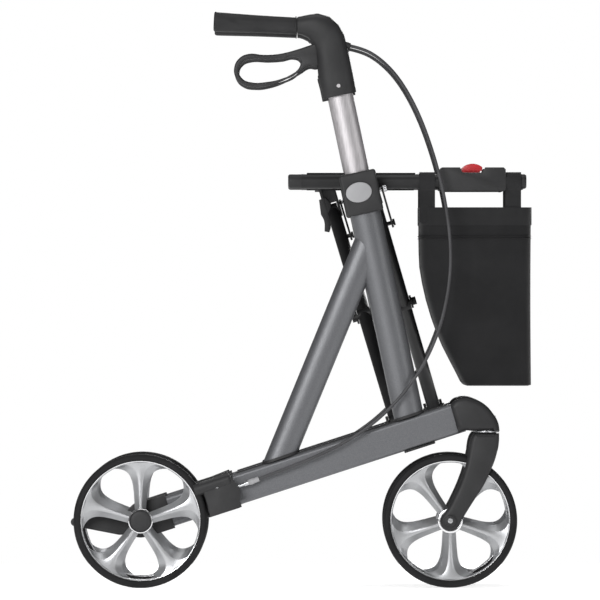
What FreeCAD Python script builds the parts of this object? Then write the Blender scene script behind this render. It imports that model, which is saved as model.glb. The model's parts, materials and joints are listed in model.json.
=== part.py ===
import FreeCAD, Part
import math
import os

# A folding four-wheeled rollator walker. Millimetres and degrees.
# +X is forward, +Z is up, and the walker stands on z = 0. The right side frame is at -Y.
# Each side piece is drawn for the right side and mirrored for the left one.

# Overall sizes
wheel_radius = 100.0
wheelbase = 462.0
rear_axle_x = -240.0
seat_half_width = 230.0  # from the middle to each seat tube
frame_offset = 32.0  # from a seat tube out to the plane of its side frame
seat_height = 606.5  # middle of the seat tubes
grip_height = 841.5  # middle of the grips

# Side frame
beam_height = 46.0
beam_width = 24.0
beam_corner = 6.0
beam_wall = 2.5
elbow_reach = 48.73  # from the beam's front end forward to the caster's swivel
elbow_rise = 18.027  # from the caster housing's bottom up to the beam's front end
beam_start = 32.0
beam_socket = 12.0  # how far the beam goes into the elbow
seal_height = 4.0
upright_lean = 12.0
upright_foot_x = 165.3  # on the beam's middle line
upright_wall = 3.0
upright_room = 1.0  # round the handle tube
strut_lean = 22.3
strut_foot_x = -43.8  # on the beam's middle line
strut_across = 42.0
strut_deep = 24.0
strut_wall = 2.5

# Height adjustment
tube_across = 37.0
tube_deep = 20.0
tube_wall = 2.2
slide_gap = 0.15
tube_inside = 190.0  # how far the handle tube reaches into the upright
tube_below_grip = 68.9  # from the grip's middle down to the tube's top end
collar_drop = 15.8  # from the seat tubes' middle to the collar's
collar_wall_rear = 5.5
collar_wall_front = 5.0
collar_wall_in = 5.0
collar_wall_out = 6.0
collar_below = 33.0
collar_above = 30.0
collar_step = 17.0  # from the collar's middle down to the upright's end
collar_corner = 4.0
button_across = 39.0
button_tall = 30.0
button_travel = 3.0
button_back = 3.4  # behind the collar's middle
button_stem_radius = 4.0
button_gap = 0.15
button_floor = 2.8  # left under the button's well

# Wheels
tyre_width = 28.0
tyre_depth = 10.0
rim_lip = 4.5
rim_width = 24.0
hub_radius = 20.0
spoke_count = 5
spoke_thick = 13.0
# Half width, and how far out between the hub and the rim
spoke_stations = ((8.8, -0.031), (10.0, 0.351), (13.0, 0.641), (17.5, 0.794), (33.5, 0.962))
rear_axle_radius = 6.0
front_axle_radius = 4.0
running_gap = 0.05
wheel_gap = 12.0  # between the beam and the rear wheel's tyre

# Casters
swivel_trail = 53.7
caster_radius = 20.0
caster_clearance = 33.7  # from the front tyre's top to the caster housing
ring_height = 1.7
stem_radius = 8.0
bearing_radius = 14.0
bearing_height = 8.0
fork_inside = 17.5  # half the width between the fork's legs
fork_leg = 5.5

# Folding cross brace
brace_lean = 16.5
brace_low_x = 200.4  # lower pivot line of the front leg
brace_low_up = 22.9  # above the beam's middle line
leg_spacing = 61.4
leg_radius = 10.0
leg_wall = 2.0
eye_radius = 11.0
eye_half = 10.0
top_eye_half = 8.0
pivot_radius = 4.0
ear_gap = 0.3
ear_thick = 4.0
seat_drop = 26.0  # from the seat tube to the top pivot of the front leg
stay_thick = 3.0
stay_width = 10.0
stay_pin_out = 22.0  # outboard of the seat tube
stay_pin_up = 9.0  # above the legs' top pivots
stay_stud_in = 60.0  # inboard of the seat tube
stay_stud_radius = 3.0
stay_slot_gap = 0.6
stay_slot_lean = 19.0  # the slot opens upward and outward

# Seat
seat_tube_radius = 11.0
seat_tube_wall = 2.0
seat_tube_rear = -20.0
seat_tube_front = 336.0
front_cap_length = 8.0
rear_cap_length = 20.0
rear_cap_step = 0.3  # the rear cap is that much smaller in radius, for an accessory's clip
cap_corner = 3.5
cap_plug = 14.0
cradle_rear = 65.0
cradle_front = 80.0
cradle_gap = 0.4
cradle_wall = 4.0
lock_rear = 206.0
lock_front = 305.0
lock_half_width = 14.0
lock_top = 21.0  # above the seat tube's middle
lock_button_length = 29.0
lock_button_width = 18.0
lock_travel = 4.0
sling_rear = 8.0
sling_front = 170.0
sling_thick = 2.2
sling_sag = 22.0
strap_width = 40.0

# Bag
bag_rear = 176.0
bag_front = 344.0
bag_hang = 39.0  # from the seat tubes' middle to the bag's top
bag_depth = 266.5
bag_proud = 1.0  # outboard of the seat tubes' middle
bag_wall = 2.5
bag_strap_width = 23.0
bag_strap_inset = 12.0

# Handles and brakes
grip_slope = 2.8
grip_length = 125.0
grip_front_x = -6.0
grip_rear_radius = 15.3
grip_front_radius = 13.3
grip_bore = 9.0
housing_half = 16.0
lever_half = 7.0
lever_gap = 0.4
lever_pivot_x = 37.0
lever_pivot_drop = 41.5  # below the grip's middle
lever_root_radius = 17.0
lever_pin_radius = 3.0
shoe_half = 12.5
shoe_gap = 2.4
shoe_pivot_behind = 24.0  # from the tyre along the beam
shoe_pivot_up = 14.0
brake_wall = 3.5
cable_diameter = 5.0
ferrule_length = 14.0

# The right brake cable, by hand: out of the handle, forward in a bow and down to the brake.
cable_points = (
    (73.0, -262.0, 808.5),
    (91.0, -262.0, 804.5),
    (113.0, -262.0, 793.0),
    (137.0, -262.0, 771.0),
    (158.0, -262.0, 741.0),
    (178.0, -262.5, 701.0),
    (196.0, -264.0, 651.0),
    (210.5, -266.0, 598.0),
    (220.0, -268.5, 543.0),
    (223.5, -272.0, 489.0),
    (218.5, -277.0, 437.0),
    (205.5, -282.0, 384.0),
    (183.0, -285.5, 333.0),
    (151.0, -287.0, 287.5),
    (111.5, -287.0, 248.0),
    (65.0, -286.0, 216.5),
    (14.5, -285.0, 192.5),
    (-33.0, -284.0, 174.0),
    (-72.0, -283.5, 159.5),
)

ORIGIN = FreeCAD.Vector(0, 0, 0)
ACROSS = FreeCAD.Vector(0, 1, 0)
UP = FreeCAD.Vector(0, 0, 1)
FORWARD = FreeCAD.Vector(1, 0, 0)

# Places that follow from the sizes above
front_axle_x = rear_axle_x + wheelbase
frame_half_width = seat_half_width + frame_offset
rear_wheel_out = frame_half_width + beam_width / 2 + wheel_gap + tyre_width / 2
swivel_x = front_axle_x + swivel_trail
caster_bottom = 2 * wheel_radius + caster_clearance
beam_run = swivel_x - elbow_reach - rear_axle_x
beam_rise = caster_bottom + elbow_rise - wheel_radius
beam_end = math.hypot(beam_run, beam_rise)
slope = math.atan2(beam_rise, beam_run)
beam_slope = math.degrees(slope)
lean = math.radians(upright_lean)
brace = math.radians(brace_lean)
beam_half = beam_height / 2
beam_inner = frame_half_width - beam_width / 2
upright_foot_z = wheel_radius + (upright_foot_x - rear_axle_x) * math.tan(slope)
strut_foot_z = wheel_radius + (strut_foot_x - rear_axle_x) * math.tan(slope)
collar_z = seat_height - collar_drop
collar_x = upright_foot_x - (collar_z - upright_foot_z) * math.tan(lean)
upright_length = (collar_z - upright_foot_z) / math.cos(lean)
upright_across = tube_across + 2 * (upright_room + upright_wall)
upright_deep = tube_deep + 2 * (upright_room + upright_wall)
collar_rear = upright_across / 2 + collar_wall_rear
collar_front = upright_across / 2 + collar_wall_front
collar_in = upright_deep / 2 + collar_wall_in
collar_out = upright_deep / 2 + collar_wall_out
tube_top = (grip_height - tube_below_grip - collar_z) / math.cos(lean)
button_well = tube_deep / 2 + slide_gap + button_floor
lever_pivot_z = grip_height - lever_pivot_drop
shoe_pivot_along = wheel_radius + shoe_pivot_behind
brace_low_z = wheel_radius + (brace_low_x - rear_axle_x) * math.tan(slope) + brace_low_up
bag_top = seat_height - bag_hang
bag_bottom = bag_top - bag_depth
bag_half_width = seat_half_width + bag_proud
leg_rise = (seat_height - brace_low_z) / math.cos(brace) - seat_drop
leg_length = math.hypot(2 * seat_half_width, leg_rise)
leg_up = leg_rise / leg_length
leg_across = 2 * seat_half_width / leg_length
grip_rear_x = grip_front_x - grip_length


def point(x, y, z):
    return FreeCAD.Vector(x, y, z)


def cylinder(radius, start, end):
    """A round bar between two points."""
    return Part.makeCylinder(radius, (end - start).Length, start, end - start)


def ring(outer, inner, start, end):
    return cylinder(outer, start, end).cut(cylinder(inner, start, end))


def box(x0, x1, y0, y1, z0, z1):
    return Part.makeBox(x1 - x0, y1 - y0, z1 - z0, point(x0, y0, z0))


def closed_wire(start, *steps):
    """A closed outline in the XZ plane. A step is a point, or an arc's middle and end points."""
    edges = []
    first = point(start[0], 0, start[1])
    here = first
    for step in steps:
        if isinstance(step[0], tuple):
            middle, end = (point(x, 0, z) for x, z in step)
            edges.append(Part.Arc(here, middle, end).toShape())
        else:
            end = point(step[0], 0, step[1])
            edges.append(Part.LineSegment(here, end).toShape())
        here = end
    if (here - first).Length > 1e-6:
        edges.append(Part.LineSegment(here, first).toShape())
    return Part.Wire(edges)


def smooth_wire(points):
    curve = Part.BSplineCurve()
    curve.interpolate(Points=[point(x, 0, z) for x, z in points], PeriodicFlag=True)
    return Part.Wire(curve.toShape())


def slab(wire, low, high):
    """A flat outline made solid from y = low to y = high."""
    face = Part.Face(wire)
    face.translate(point(0, low, 0))
    return face.extrude(point(0, high - low, 0))


def oval_bar(across, deep, low, high):
    """An elliptical bar along Z, wider in X than in Y."""
    curve = Part.Ellipse(ORIGIN, across / 2, deep / 2).toShape()
    face = Part.Face(Part.Wire(curve))
    face.translate(point(0, 0, low))
    return face.extrude(point(0, 0, high - low))


def ellipse_plug(across, tall, low, high):
    """An elliptical plug along Y."""
    curve = Part.Ellipse(ORIGIN, across / 2, tall / 2).toShape()
    face = Part.Face(Part.Wire(curve))
    face.rotate(ORIGIN, FORWARD, 90)
    face.translate(point(0, low, 0))
    return face.extrude(point(0, high - low, 0))


def tilted(shape, angle, x, z, out=0.0):
    """A piece drawn upright at the origin, leaned back by an angle and moved to its place."""
    shape.rotate(ORIGIN, ACROSS, -angle)
    shape.translate(point(x, -out, z))
    return shape


def on_beam(shape):
    """A piece drawn with X along the beam from the rear axle and Z square to it."""
    return tilted(shape, beam_slope, rear_axle_x, wheel_radius, frame_half_width)


def on_collar(shape):
    return tilted(shape, upright_lean, collar_x, collar_z, frame_half_width)


def on_brace(shape, rear=False):
    """A piece drawn with Z up the brace and X = 0 in the plane of one of its legs."""
    shape.rotate(ORIGIN, ACROSS, -brace_lean)
    back = leg_spacing if rear else 0.0
    shape.translate(point(brace_low_x - back * math.cos(brace), 0, brace_low_z - back * math.sin(brace)))
    return shape


def largest(shape):
    return max(shape.Solids, key=lambda solid: solid.Volume)


def rounded(shape, radius, direction=None):
    """Rounds the straight edges, or only those along one direction."""
    edges = []
    for edge in shape.Edges:
        if isinstance(edge.Curve, Part.Line):
            along = edge.tangentAt(edge.FirstParameter)
            if direction is None or abs(abs(along.dot(direction)) - 1) < 1e-6:
                edges.append(edge)
    return shape.makeFillet(radius, edges)


def mirrored(shape):
    return shape.mirror(ORIGIN, ACROSS)


def save(name, shapes):
    solids = [solid for shape in shapes for solid in shape.Solids]
    whole = solids[0] if len(solids) == 1 else Part.makeCompound(solids)
    if not whole.isValid():
        raise ValueError(name + " is not a valid solid")
    whole.exportStep("parts/" + name + ".step")


def save_pair(name, *shapes):
    save(name + "_right", shapes)
    save(name + "_left", [mirrored(shape) for shape in shapes])


# The side frame


def beam_envelope(low, high):
    block = box(low, high, -beam_width / 2, beam_width / 2, -beam_half, beam_half)
    return rounded(block, beam_corner, FORWARD)


def beam():
    inner_half = beam_half - beam_wall
    inner_width = beam_width / 2 - beam_wall
    inside = box(0, beam_end + 30, -inner_width, inner_width, -inner_half, inner_half)
    bar = beam_envelope(beam_start, beam_end + beam_socket)
    return on_beam(bar.cut(rounded(inside, beam_corner - beam_wall, FORWARD)))


def above_beam(low, high):
    """Everything between two heights over the beam's middle line."""
    return on_beam(box(-100, 700, -100, 100, low, high))


def upright_bar(grow=0.0):
    bar = oval_bar(upright_across + grow, upright_deep + grow, -60, upright_length + 50)
    return tilted(bar, upright_lean, upright_foot_x, upright_foot_z, frame_half_width)


def strut_bar(grow=0.0):
    bar = oval_bar(strut_across + grow, strut_deep + grow, -60, upright_length + 50)
    return tilted(bar, -strut_lean, strut_foot_x, strut_foot_z, frame_half_width)


def upright():
    across, deep = upright_across - 2 * upright_wall, upright_deep - 2 * upright_wall
    inside = oval_bar(across, deep, -70, upright_length + 60)
    inside = tilted(inside, upright_lean, upright_foot_x, upright_foot_z, frame_half_width)
    tube = upright_bar().cut(inside).cut(above_beam(-200, beam_half + seal_height))
    over_collar = on_collar(box(-80, 80, -60, 60, -collar_step, 300))
    return largest(tube.cut(over_collar))


def strut():
    inside = oval_bar(strut_across - 2 * strut_wall, strut_deep - 2 * strut_wall, -70, upright_length + 60)
    inside = tilted(inside, -strut_lean, strut_foot_x, strut_foot_z, frame_half_width)
    tube = strut_bar().cut(above_beam(-200, beam_half + seal_height)).cut(upright_bar())
    solid = largest(tube)
    behind = tilted(box(-300, -upright_across / 2 - 2, -60, 60, -100, 500), upright_lean,
                    upright_foot_x, upright_foot_z, frame_half_width)
    return solid.cut(inside.common(behind))


def frame_seals():
    """Rubber feet under the upright and the strut, and the cover strip along the beam's top."""
    layer = above_beam(beam_half, beam_half + seal_height)
    feet = [bar(3.0).common(layer) for bar in (upright_bar, strut_bar)]
    strip = on_beam(box(158, beam_end - 4, -5, 5, beam_half, beam_half + 1.6))
    for bar in (upright_bar, strut_bar):
        strip = strip.cut(bar(3.0))
    return feet + [strip]


def height_collar():
    """Clamps on the upright's top, guides the handle tube and carries the seat tube's cradle."""
    body = box(-collar_rear, collar_front, -collar_out, collar_in, -collar_below, collar_above)
    body = rounded(body, collar_corner)
    body = body.cut(oval_bar(upright_across, upright_deep, -100, -collar_step))
    body = body.cut(oval_bar(tube_across + 2 * slide_gap, tube_deep + 2 * slide_gap, -collar_step - 1, 100))
    across, tall = button_across + 2 * button_gap, button_tall + 2 * button_gap
    well = ellipse_plug(across, tall, -collar_out - 5, -button_well)
    stem_hole = cylinder(button_stem_radius + running_gap, point(0, -button_well - 1, 0), ORIGIN)
    body = body.cut(well.fuse(stem_hole).translated(point(-button_back, 0, 0)))
    body = on_collar(body)
    tube_y = -seat_half_width
    outer = seat_tube_radius + cradle_gap + cradle_wall
    inner = seat_tube_radius + cradle_gap
    rear, front = point(cradle_rear, tube_y, seat_height), point(cradle_front, tube_y, seat_height)
    lips = box(cradle_rear, cradle_front, tube_y - outer, tube_y + outer, seat_height, seat_height + 4)
    cradle = cylinder(outer, rear, front).fuse(lips)
    cradle = cradle.common(box(0, 200, -400, 0, 0, seat_height + 4))
    passage = cylinder(inner, point(-100, tube_y, seat_height), point(400, tube_y, seat_height))
    passage = passage.fuse(box(-100, 400, tube_y - inner, tube_y + inner, seat_height, seat_height + 60))
    return body.fuse(cradle).cut(passage)


def height_button():
    low = -button_well - button_travel - 0.3
    plug = ellipse_plug(button_across, button_tall, -collar_out - button_travel, low)
    stem = cylinder(button_stem_radius, point(0, low, 0), point(0, -button_well - 0.4, 0))
    return on_collar(plug.fuse(stem).translated(point(-button_back, 0, 0)))


def caster_housing():
    """The elbow at the beam's front end, which turns down to the caster's bearing."""
    joint_top = (rear_axle_x + beam_end * math.cos(slope) - beam_half * math.sin(slope),
                 wheel_radius + beam_end * math.sin(slope) + beam_half * math.cos(slope))
    joint_low = (joint_top[0] + beam_height * math.sin(slope), joint_top[1] - beam_height * math.cos(slope))
    crest = (swivel_x - 27, joint_top[1] + 11.5)
    front = (swivel_x + caster_radius, caster_bottom + 6)
    shoulder = (swivel_x + 10.5, crest[1] - 24)
    elbow = slab(closed_wire(
        joint_top,
        ((joint_top[0] + 5.5, joint_top[1] + 8), (joint_top[0] + 14, crest[1] - 0.5)),
        crest,
        (shoulder, front),
        (front[0], caster_bottom),
        (swivel_x - caster_radius, caster_bottom),
        ((swivel_x - caster_radius - 10, caster_bottom + 2.4), (joint_low[0], joint_low[1])),
        joint_top,
    ), -caster_radius, caster_radius)
    elbow.translate(point(0, -frame_half_width, 0))
    elbow = elbow.cut(on_beam(beam_envelope(0, beam_end + beam_socket)))
    y = -frame_half_width
    top = caster_bottom + 2 * bearing_height + 8
    return elbow.cut(cylinder(bearing_radius, point(swivel_x, y, caster_bottom - 5), point(swivel_x, y, top)))


def tip_pedal_outline():
    x = rear_axle_x
    z = wheel_radius
    return closed_wire(
        (x, z + 12), (x - 18, z + 5), ((x - 62, z + 9), (x - 98, z + 4.5)),
        ((x - 104, z), (x - 99, z - 8)), (x - 32, z - 21), (x, z - 20))


def rear_axle_housing():
    """The casting at the beam's rear end: the axle's boss, the beam's socket and the tip pedal."""
    half = beam_width / 2 + 3
    boss = cylinder(25.0, point(0, -half, 0), point(0, half, 0))
    boss = boss.fuse(box(0, 46, -half, half, -beam_half - 3, beam_half + 3))
    boss = on_beam(boss)
    pedal = slab(tip_pedal_outline(), -beam_inner - beam_width, -beam_inner)
    body = boss.fuse(pedal).cut(on_beam(beam_envelope(beam_start, beam_start + 68)))
    axle_y = -frame_half_width
    hole = cylinder(rear_axle_radius, point(rear_axle_x, axle_y - 40, wheel_radius),
                    point(rear_axle_x, axle_y + 40, wheel_radius))
    return body.cut(hole)


# The brakes


def brake_block():
    """The outline over the tyre, along and square to the beam."""
    near = wheel_radius + 4
    low = math.radians(-15.0)
    high = math.radians(14.5)
    arc_low = (near * math.cos(low), near * math.sin(low))
    arc_high = (near * math.cos(high), near * math.sin(high))
    return closed_wire(arc_high, ((near, 0), arc_low), (near + 43, -27), (near + 52, 0), (near + 42, 29))


def brake_housing():
    sleeve_half = beam_width / 2 + 3
    sleeve_tall = beam_half + 4
    sleeve = box(wheel_radius - 14, wheel_radius + 50, -sleeve_half, sleeve_half, -sleeve_tall, sleeve_tall)
    sleeve = rounded(sleeve, 3.0, FORWARD)
    inner = -sleeve_half
    outer = -(rear_wheel_out - frame_half_width) - shoe_half - 0.5 - brake_wall
    block = slab(brake_block(), outer, inner)
    well = -(rear_wheel_out - frame_half_width)
    room = shoe_half + 0.5
    pocket = box(wheel_radius - 20, wheel_radius + 38, well - room, well + room, -40, 23)
    pin = cylinder(lever_pin_radius, point(shoe_pivot_along, outer - 5, shoe_pivot_up),
                   point(shoe_pivot_along, well + shoe_half + 3, shoe_pivot_up))
    body = sleeve.fuse(block).cut(pocket).cut(pin)
    return on_beam(body.cut(beam_envelope(0, 300)))


def brake_pin():
    well = -(rear_wheel_out - frame_half_width)
    outer = well - shoe_half - 0.5 - brake_wall
    return on_beam(cylinder(lever_pin_radius, point(shoe_pivot_along, outer - 1, shoe_pivot_up),
                            point(shoe_pivot_along, well + shoe_half + 3, shoe_pivot_up)))


def brake_shoe():
    well = -(rear_wheel_out - frame_half_width)
    near = wheel_radius + shoe_gap
    low = math.radians(-11.0)
    high = math.radians(6.0)
    arc_low = (near * math.cos(low), near * math.sin(low))
    arc_high = (near * math.cos(high), near * math.sin(high))
    pad = slab(closed_wire(
        arc_high, ((near, 0), arc_low), (arc_low[0] + 9, arc_low[1]),
        (shoe_pivot_along + 4, shoe_pivot_up - 4), (shoe_pivot_along - 4, shoe_pivot_up + 6),
    ), well - shoe_half, well + shoe_half)
    knuckle = cylinder(8.0, point(shoe_pivot_along, well - shoe_half, shoe_pivot_up),
                       point(shoe_pivot_along, well + shoe_half, shoe_pivot_up))
    hole = cylinder(lever_pin_radius + running_gap, point(shoe_pivot_along, well - 60, shoe_pivot_up),
                    point(shoe_pivot_along, well + 60, shoe_pivot_up))
    return on_beam(pad.fuse(knuckle).cut(hole))


# The wheels


def tyre(x, y):
    inner = wheel_radius - tyre_depth
    half = tyre_width / 2
    profile = closed_wire((inner, -rim_width / 2), (inner + 4, -half), ((wheel_radius, 0), (inner + 4, half)),
                          (inner, rim_width / 2))
    shape = Part.Face(profile).revolve(ORIGIN, UP, 360)
    shape.rotate(ORIGIN, FORWARD, 90)
    shape.translate(point(x, y, wheel_radius))
    return shape


def rim(x, y, hub_half, axle_radius, first_spoke):
    """Hub, five flared spokes and the rim that the tyre sits on."""
    outer = wheel_radius - tyre_depth
    body = ring(outer, outer - rim_lip, point(0, -rim_width / 2, 0), point(0, rim_width / 2, 0))
    body = body.fuse(cylinder(hub_radius, point(0, -hub_half, 0), point(0, hub_half, 0)))
    reach = outer - rim_lip - hub_radius
    right_edge = [(half, hub_radius + share * reach) for half, share in spoke_stations]
    left_edge = [(-half, radius) for half, radius in reversed(right_edge)]
    steps = right_edge[1:] + [((0, outer - 2), left_edge[0])] + left_edge[1:]
    blade = slab(closed_wire(right_edge[0], *steps), -spoke_thick / 2, spoke_thick / 2)
    blade = blade.common(cylinder(outer - 1, point(0, -spoke_thick, 0), point(0, spoke_thick, 0)))
    for number in range(spoke_count):
        spoke = blade.copy()
        spoke.rotate(ORIGIN, ACROSS, first_spoke + number * 360 / spoke_count)
        body = body.fuse(spoke)
    body = body.cut(cylinder(axle_radius + running_gap, point(0, -60, 0), point(0, 60, 0)))
    body.translate(point(x, y, wheel_radius))
    return body


def rear_hub_cap():
    y = -rear_wheel_out - tyre_width / 2
    start = point(rear_axle_x, y, wheel_radius)
    cup = cylinder(18.0, start, start + point(0, -7, 0))
    return cup.cut(cylinder(14.0, start + point(0, 1, 0), start + point(0, -5, 0)))


def rear_axle():
    out = -rear_wheel_out - tyre_width / 2
    start = point(rear_axle_x, -beam_inner + 4, wheel_radius)
    head = point(rear_axle_x, out - 0.5, wheel_radius)
    collar_start = point(rear_axle_x, -rear_wheel_out + tyre_width / 2 + 0.5, wheel_radius)
    collar_end = point(rear_axle_x, -frame_half_width - beam_width / 2 - 3, wheel_radius)
    axle = cylinder(rear_axle_radius, start, head)
    axle = axle.fuse(cylinder(10.0, head, head + point(0, -3.5, 0)))
    return axle.fuse(cylinder(12.0, collar_end, collar_start))


def front_axle():
    y = -frame_half_width
    outer = fork_inside + fork_leg
    bolt = cylinder(front_axle_radius, point(front_axle_x, y - outer, wheel_radius),
                    point(front_axle_x, y + outer, wheel_radius))
    for side in (-1, 1):
        bolt = bolt.fuse(cylinder(7.5, point(front_axle_x, y + side * outer, wheel_radius),
                                  point(front_axle_x, y + side * (outer + 4), wheel_radius)))
    return bolt


def caster_fork():
    """Crown, two legs that sweep back to the axle, and the swivel stem."""
    x = front_axle_x
    z = wheel_radius
    top = caster_bottom - ring_height - 0.3
    rear = swivel_x - caster_radius
    front = swivel_x + caster_radius
    outline = closed_wire(
        (rear, top),
        (rear - 4, top - 7),
        ((x + 21, z + 80), (x + 8, z + 42)),
        ((x, z + 27), (x - 11, z + 11)),
        ((x - 11, z - 11), (x + 11, z - 11)),
        (x + 17, z + 2),
        ((x + 39, z + 36), (x + 61, z + 76)),
        ((front - 1, z + 104), (front, top)),
    )
    outer = fork_inside + fork_leg
    body = slab(outline, -outer, outer)
    wheel_room = box(x - 140, x + 140, -fork_inside, fork_inside, z - 60, z + wheel_radius + 7)
    body = body.cut(wheel_room)
    body = body.cut(cylinder(front_axle_radius, point(x, -80, z), point(x, 80, z)))
    stem_top = caster_bottom + 2 * bearing_height + 7
    body = body.fuse(cylinder(stem_radius, point(swivel_x, 0, top - 5), point(swivel_x, 0, stem_top)))
    body.translate(point(0, -frame_half_width, 0))
    return body


def caster_bearings():
    """Two bearings in the housing and the bright ring under it."""
    y = -frame_half_width
    rings = []
    for z in (caster_bottom, caster_bottom + bearing_height + 7):
        rings.append(ring(bearing_radius, stem_radius + running_gap, point(swivel_x, y, z),
                          point(swivel_x, y, z + bearing_height)))
    rings.append(ring(caster_radius - 0.8, stem_radius + 1, point(swivel_x, y, caster_bottom - ring_height),
                      point(swivel_x, y, caster_bottom)))
    return rings


# The handle


def axis_x(z):
    """Where the upright's middle line is at a height."""
    return upright_foot_x - (z - upright_foot_z) * math.tan(lean)


def handle_tube():
    tube = oval_bar(tube_across, tube_deep, -tube_inside, tube_top)
    inside = oval_bar(tube_across - 2 * tube_wall, tube_deep - 2 * tube_wall, -tube_inside - 1, tube_top + 1)
    return on_collar(tube.cut(inside))


def handle_screws():
    """The screw through the housing and the brake lever's pivot pin."""
    z = grip_height - 92.5
    x = axis_x(z)
    y = -frame_half_width
    screw = cylinder(2.8, point(x, y - housing_half - 0.8, z), point(x, y - tube_deep / 2, z))
    pin = cylinder(lever_pin_radius, point(lever_pivot_x, y - 12, lever_pivot_z),
                   point(lever_pivot_x, y + 12, lever_pivot_z))
    return [screw, pin]


def grip_line(distance):
    """A point on the grip's middle line, measured back from the grip's front end."""
    rise = math.radians(grip_slope)
    return point(grip_front_x - distance * math.cos(rise), -frame_half_width,
                 grip_height - 2.6 + distance * math.sin(rise))


def grip():
    front = grip_line(0.8)
    rear = grip_line(grip_length)
    body = Part.makeCone(grip_front_radius, grip_rear_radius, (rear - front).Length, front, rear - front)
    return body.cut(cylinder(grip_bore, front, grip_line(grip_length - 6)))


def lever_outline():
    x = lever_pivot_x
    z = lever_pivot_z
    outer = (
        (x - 20, z + 11), (x - 44, z + 3), (x - 71, z - 3.5), (x - 93, z - 4.8), (x - 118, z - 3.2),
        (x - 133, z - 13), (x - 137.6, z - 28), (x - 133, z - 43), (x - 120, z - 51), (x - 104, z - 53),
        (x - 85, z - 50.6), (x - 60, z - 41.5), (x - 38, z - 29), (x - 24, z - 21), (x - 10, z - 22),
        (x + 4, z - 10), (x - 2, z + 8),
    )
    inner = (
        (x - 115, z - 11.8), (x - 85, z - 11.8), (x - 65.5, z - 10.2), (x - 51.7, z - 7), (x - 39, z - 13.8),
        (x - 38, z - 22), (x - 46, z - 30.3), (x - 65.5, z - 40), (x - 87.7, z - 45.1), (x - 112.7, z - 45.6),
        (x - 125.2, z - 40), (x - 130.7, z - 27.6), (x - 125.2, z - 16.5),
    )
    return outer, inner


def brake_lever():
    outer, inner = lever_outline()
    body = slab(smooth_wire(outer), -lever_half, lever_half)
    root = cylinder(lever_root_radius - 5, point(lever_pivot_x, -lever_half, lever_pivot_z),
                    point(lever_pivot_x, lever_half, lever_pivot_z))
    body = body.fuse(root).cut(slab(smooth_wire(inner), -lever_half - 1, lever_half + 1))
    body = body.cut(cylinder(lever_pin_radius + running_gap, point(lever_pivot_x, -40, lever_pivot_z),
                             point(lever_pivot_x, 40, lever_pivot_z)))
    body.translate(point(0, -frame_half_width, 0))
    return body


def lever_pocket():
    """The room that the lever's root turns in."""
    half = lever_half + lever_gap
    room = cylinder(lever_root_radius, point(lever_pivot_x, -half, lever_pivot_z),
                    point(lever_pivot_x, half, lever_pivot_z))
    mouth = box(lever_pivot_x - 60, lever_pivot_x - 4, -half, half, lever_pivot_z - 30, lever_pivot_z + 18)
    toe = box(lever_pivot_x - 16, lever_pivot_x + 10, -half, half, lever_pivot_z - 28, lever_pivot_z)
    return room.fuse(mouth).fuse(toe)


def handle_housing():
    """The moulding that joins the tube, the grip and the brake lever."""
    low_z = grip_height - 107
    low_rear = (axis_x(low_z) - tube_across / 2 - 8.5, low_z - 5)
    low_front = (axis_x(low_z) + tube_across / 2 + 5, low_z + 5.5)
    top = grip_height + 15.8
    rear_top = grip_front_x
    body = slab(closed_wire(
        (rear_top, grip_height - 16.5),
        ((14, grip_height - 24), (21.5, grip_height - 38)),
        (24, grip_height - 76),
        low_rear,
        low_front,
        (68, grip_height - 28),
        ((54.5, grip_height - 1), (24, top)),
        (rear_top, grip_height + 10.5),
    ), -housing_half, housing_half)
    bore = on_collar(oval_bar(tube_across, tube_deep, 60, tube_top))
    bore.translate(point(0, frame_half_width, 0))
    body = body.cut(bore).cut(lever_pocket())
    body = body.cut(cylinder(lever_pin_radius, point(lever_pivot_x, -12, lever_pivot_z),
                             point(lever_pivot_x, 12, lever_pivot_z)))
    body.translate(point(0, -frame_half_width, 0))
    body = body.fuse(cylinder(grip_bore, grip_line(-8), grip_line(grip_length - 6)))
    start = point(*cable_points[0])
    inward = (start - point(*cable_points[1])).normalize()
    body = body.fuse(cylinder(cable_diameter / 2 + 2, start + inward * 14, start))
    for screw in handle_screws():
        body = body.cut(screw)
    return body


# The brake cable


def arc_radius(before, after, turn):
    return 0.45 * min(before, after) / math.tan(turn / 2)


def tube_along(points, radius):
    """A round tube on straight runs, with each corner turned by an arc tangent to both runs."""
    edges = []
    radii = []
    here = points[0]
    for before, corner, after in zip(points, points[1:], points[2:]):
        back = before - corner
        ahead = after - corner
        turn = math.pi - back.getAngle(ahead)
        bend = arc_radius(back.Length, ahead.Length, turn)
        radii.append(bend)
        reach = bend * math.tan(turn / 2)
        start = corner + back.normalize() * reach
        end = corner + ahead.normalize() * reach
        inward = (start + end) * 0.5 - corner
        middle = corner + inward.normalize() * (math.hypot(bend, reach) - bend)
        edges.append(Part.LineSegment(here, start).toShape())
        edges.append(Part.Arc(start, middle, end).toShape())
        here = end
    edges.append(Part.LineSegment(here, points[-1]).toShape())
    path = Part.Wire(edges)
    circle = Part.Circle(points[0], points[1] - points[0], radius)
    tube = path.makePipeShell([Part.Wire(circle.toShape())], True, False)
    section = math.pi * radius * radius * path.Length
    print("cable bend radii", [round(value) for value in radii])
    print("cable length", round(path.Length, 1))
    print("volume over section times length", round(tube.Volume / section, 4))
    return tube


def brake_cable():
    return tube_along([point(*place) for place in cable_points], cable_diameter / 2)


def cable_ferrule():
    """The bright stop that the cable enters the brake through."""
    end = point(*cable_points[-1])
    ahead = (end - point(*cable_points[-2])).normalize()
    barrel = cylinder(cable_diameter / 2 + 1, end, end + ahead * ferrule_length)
    return barrel.fuse(cylinder(2.2, end, end + ahead * 40)).cut(brake_housing())


# The folding brace


def leg_place(across, up, forward=0.0):
    return point(forward, across, up)


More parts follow.
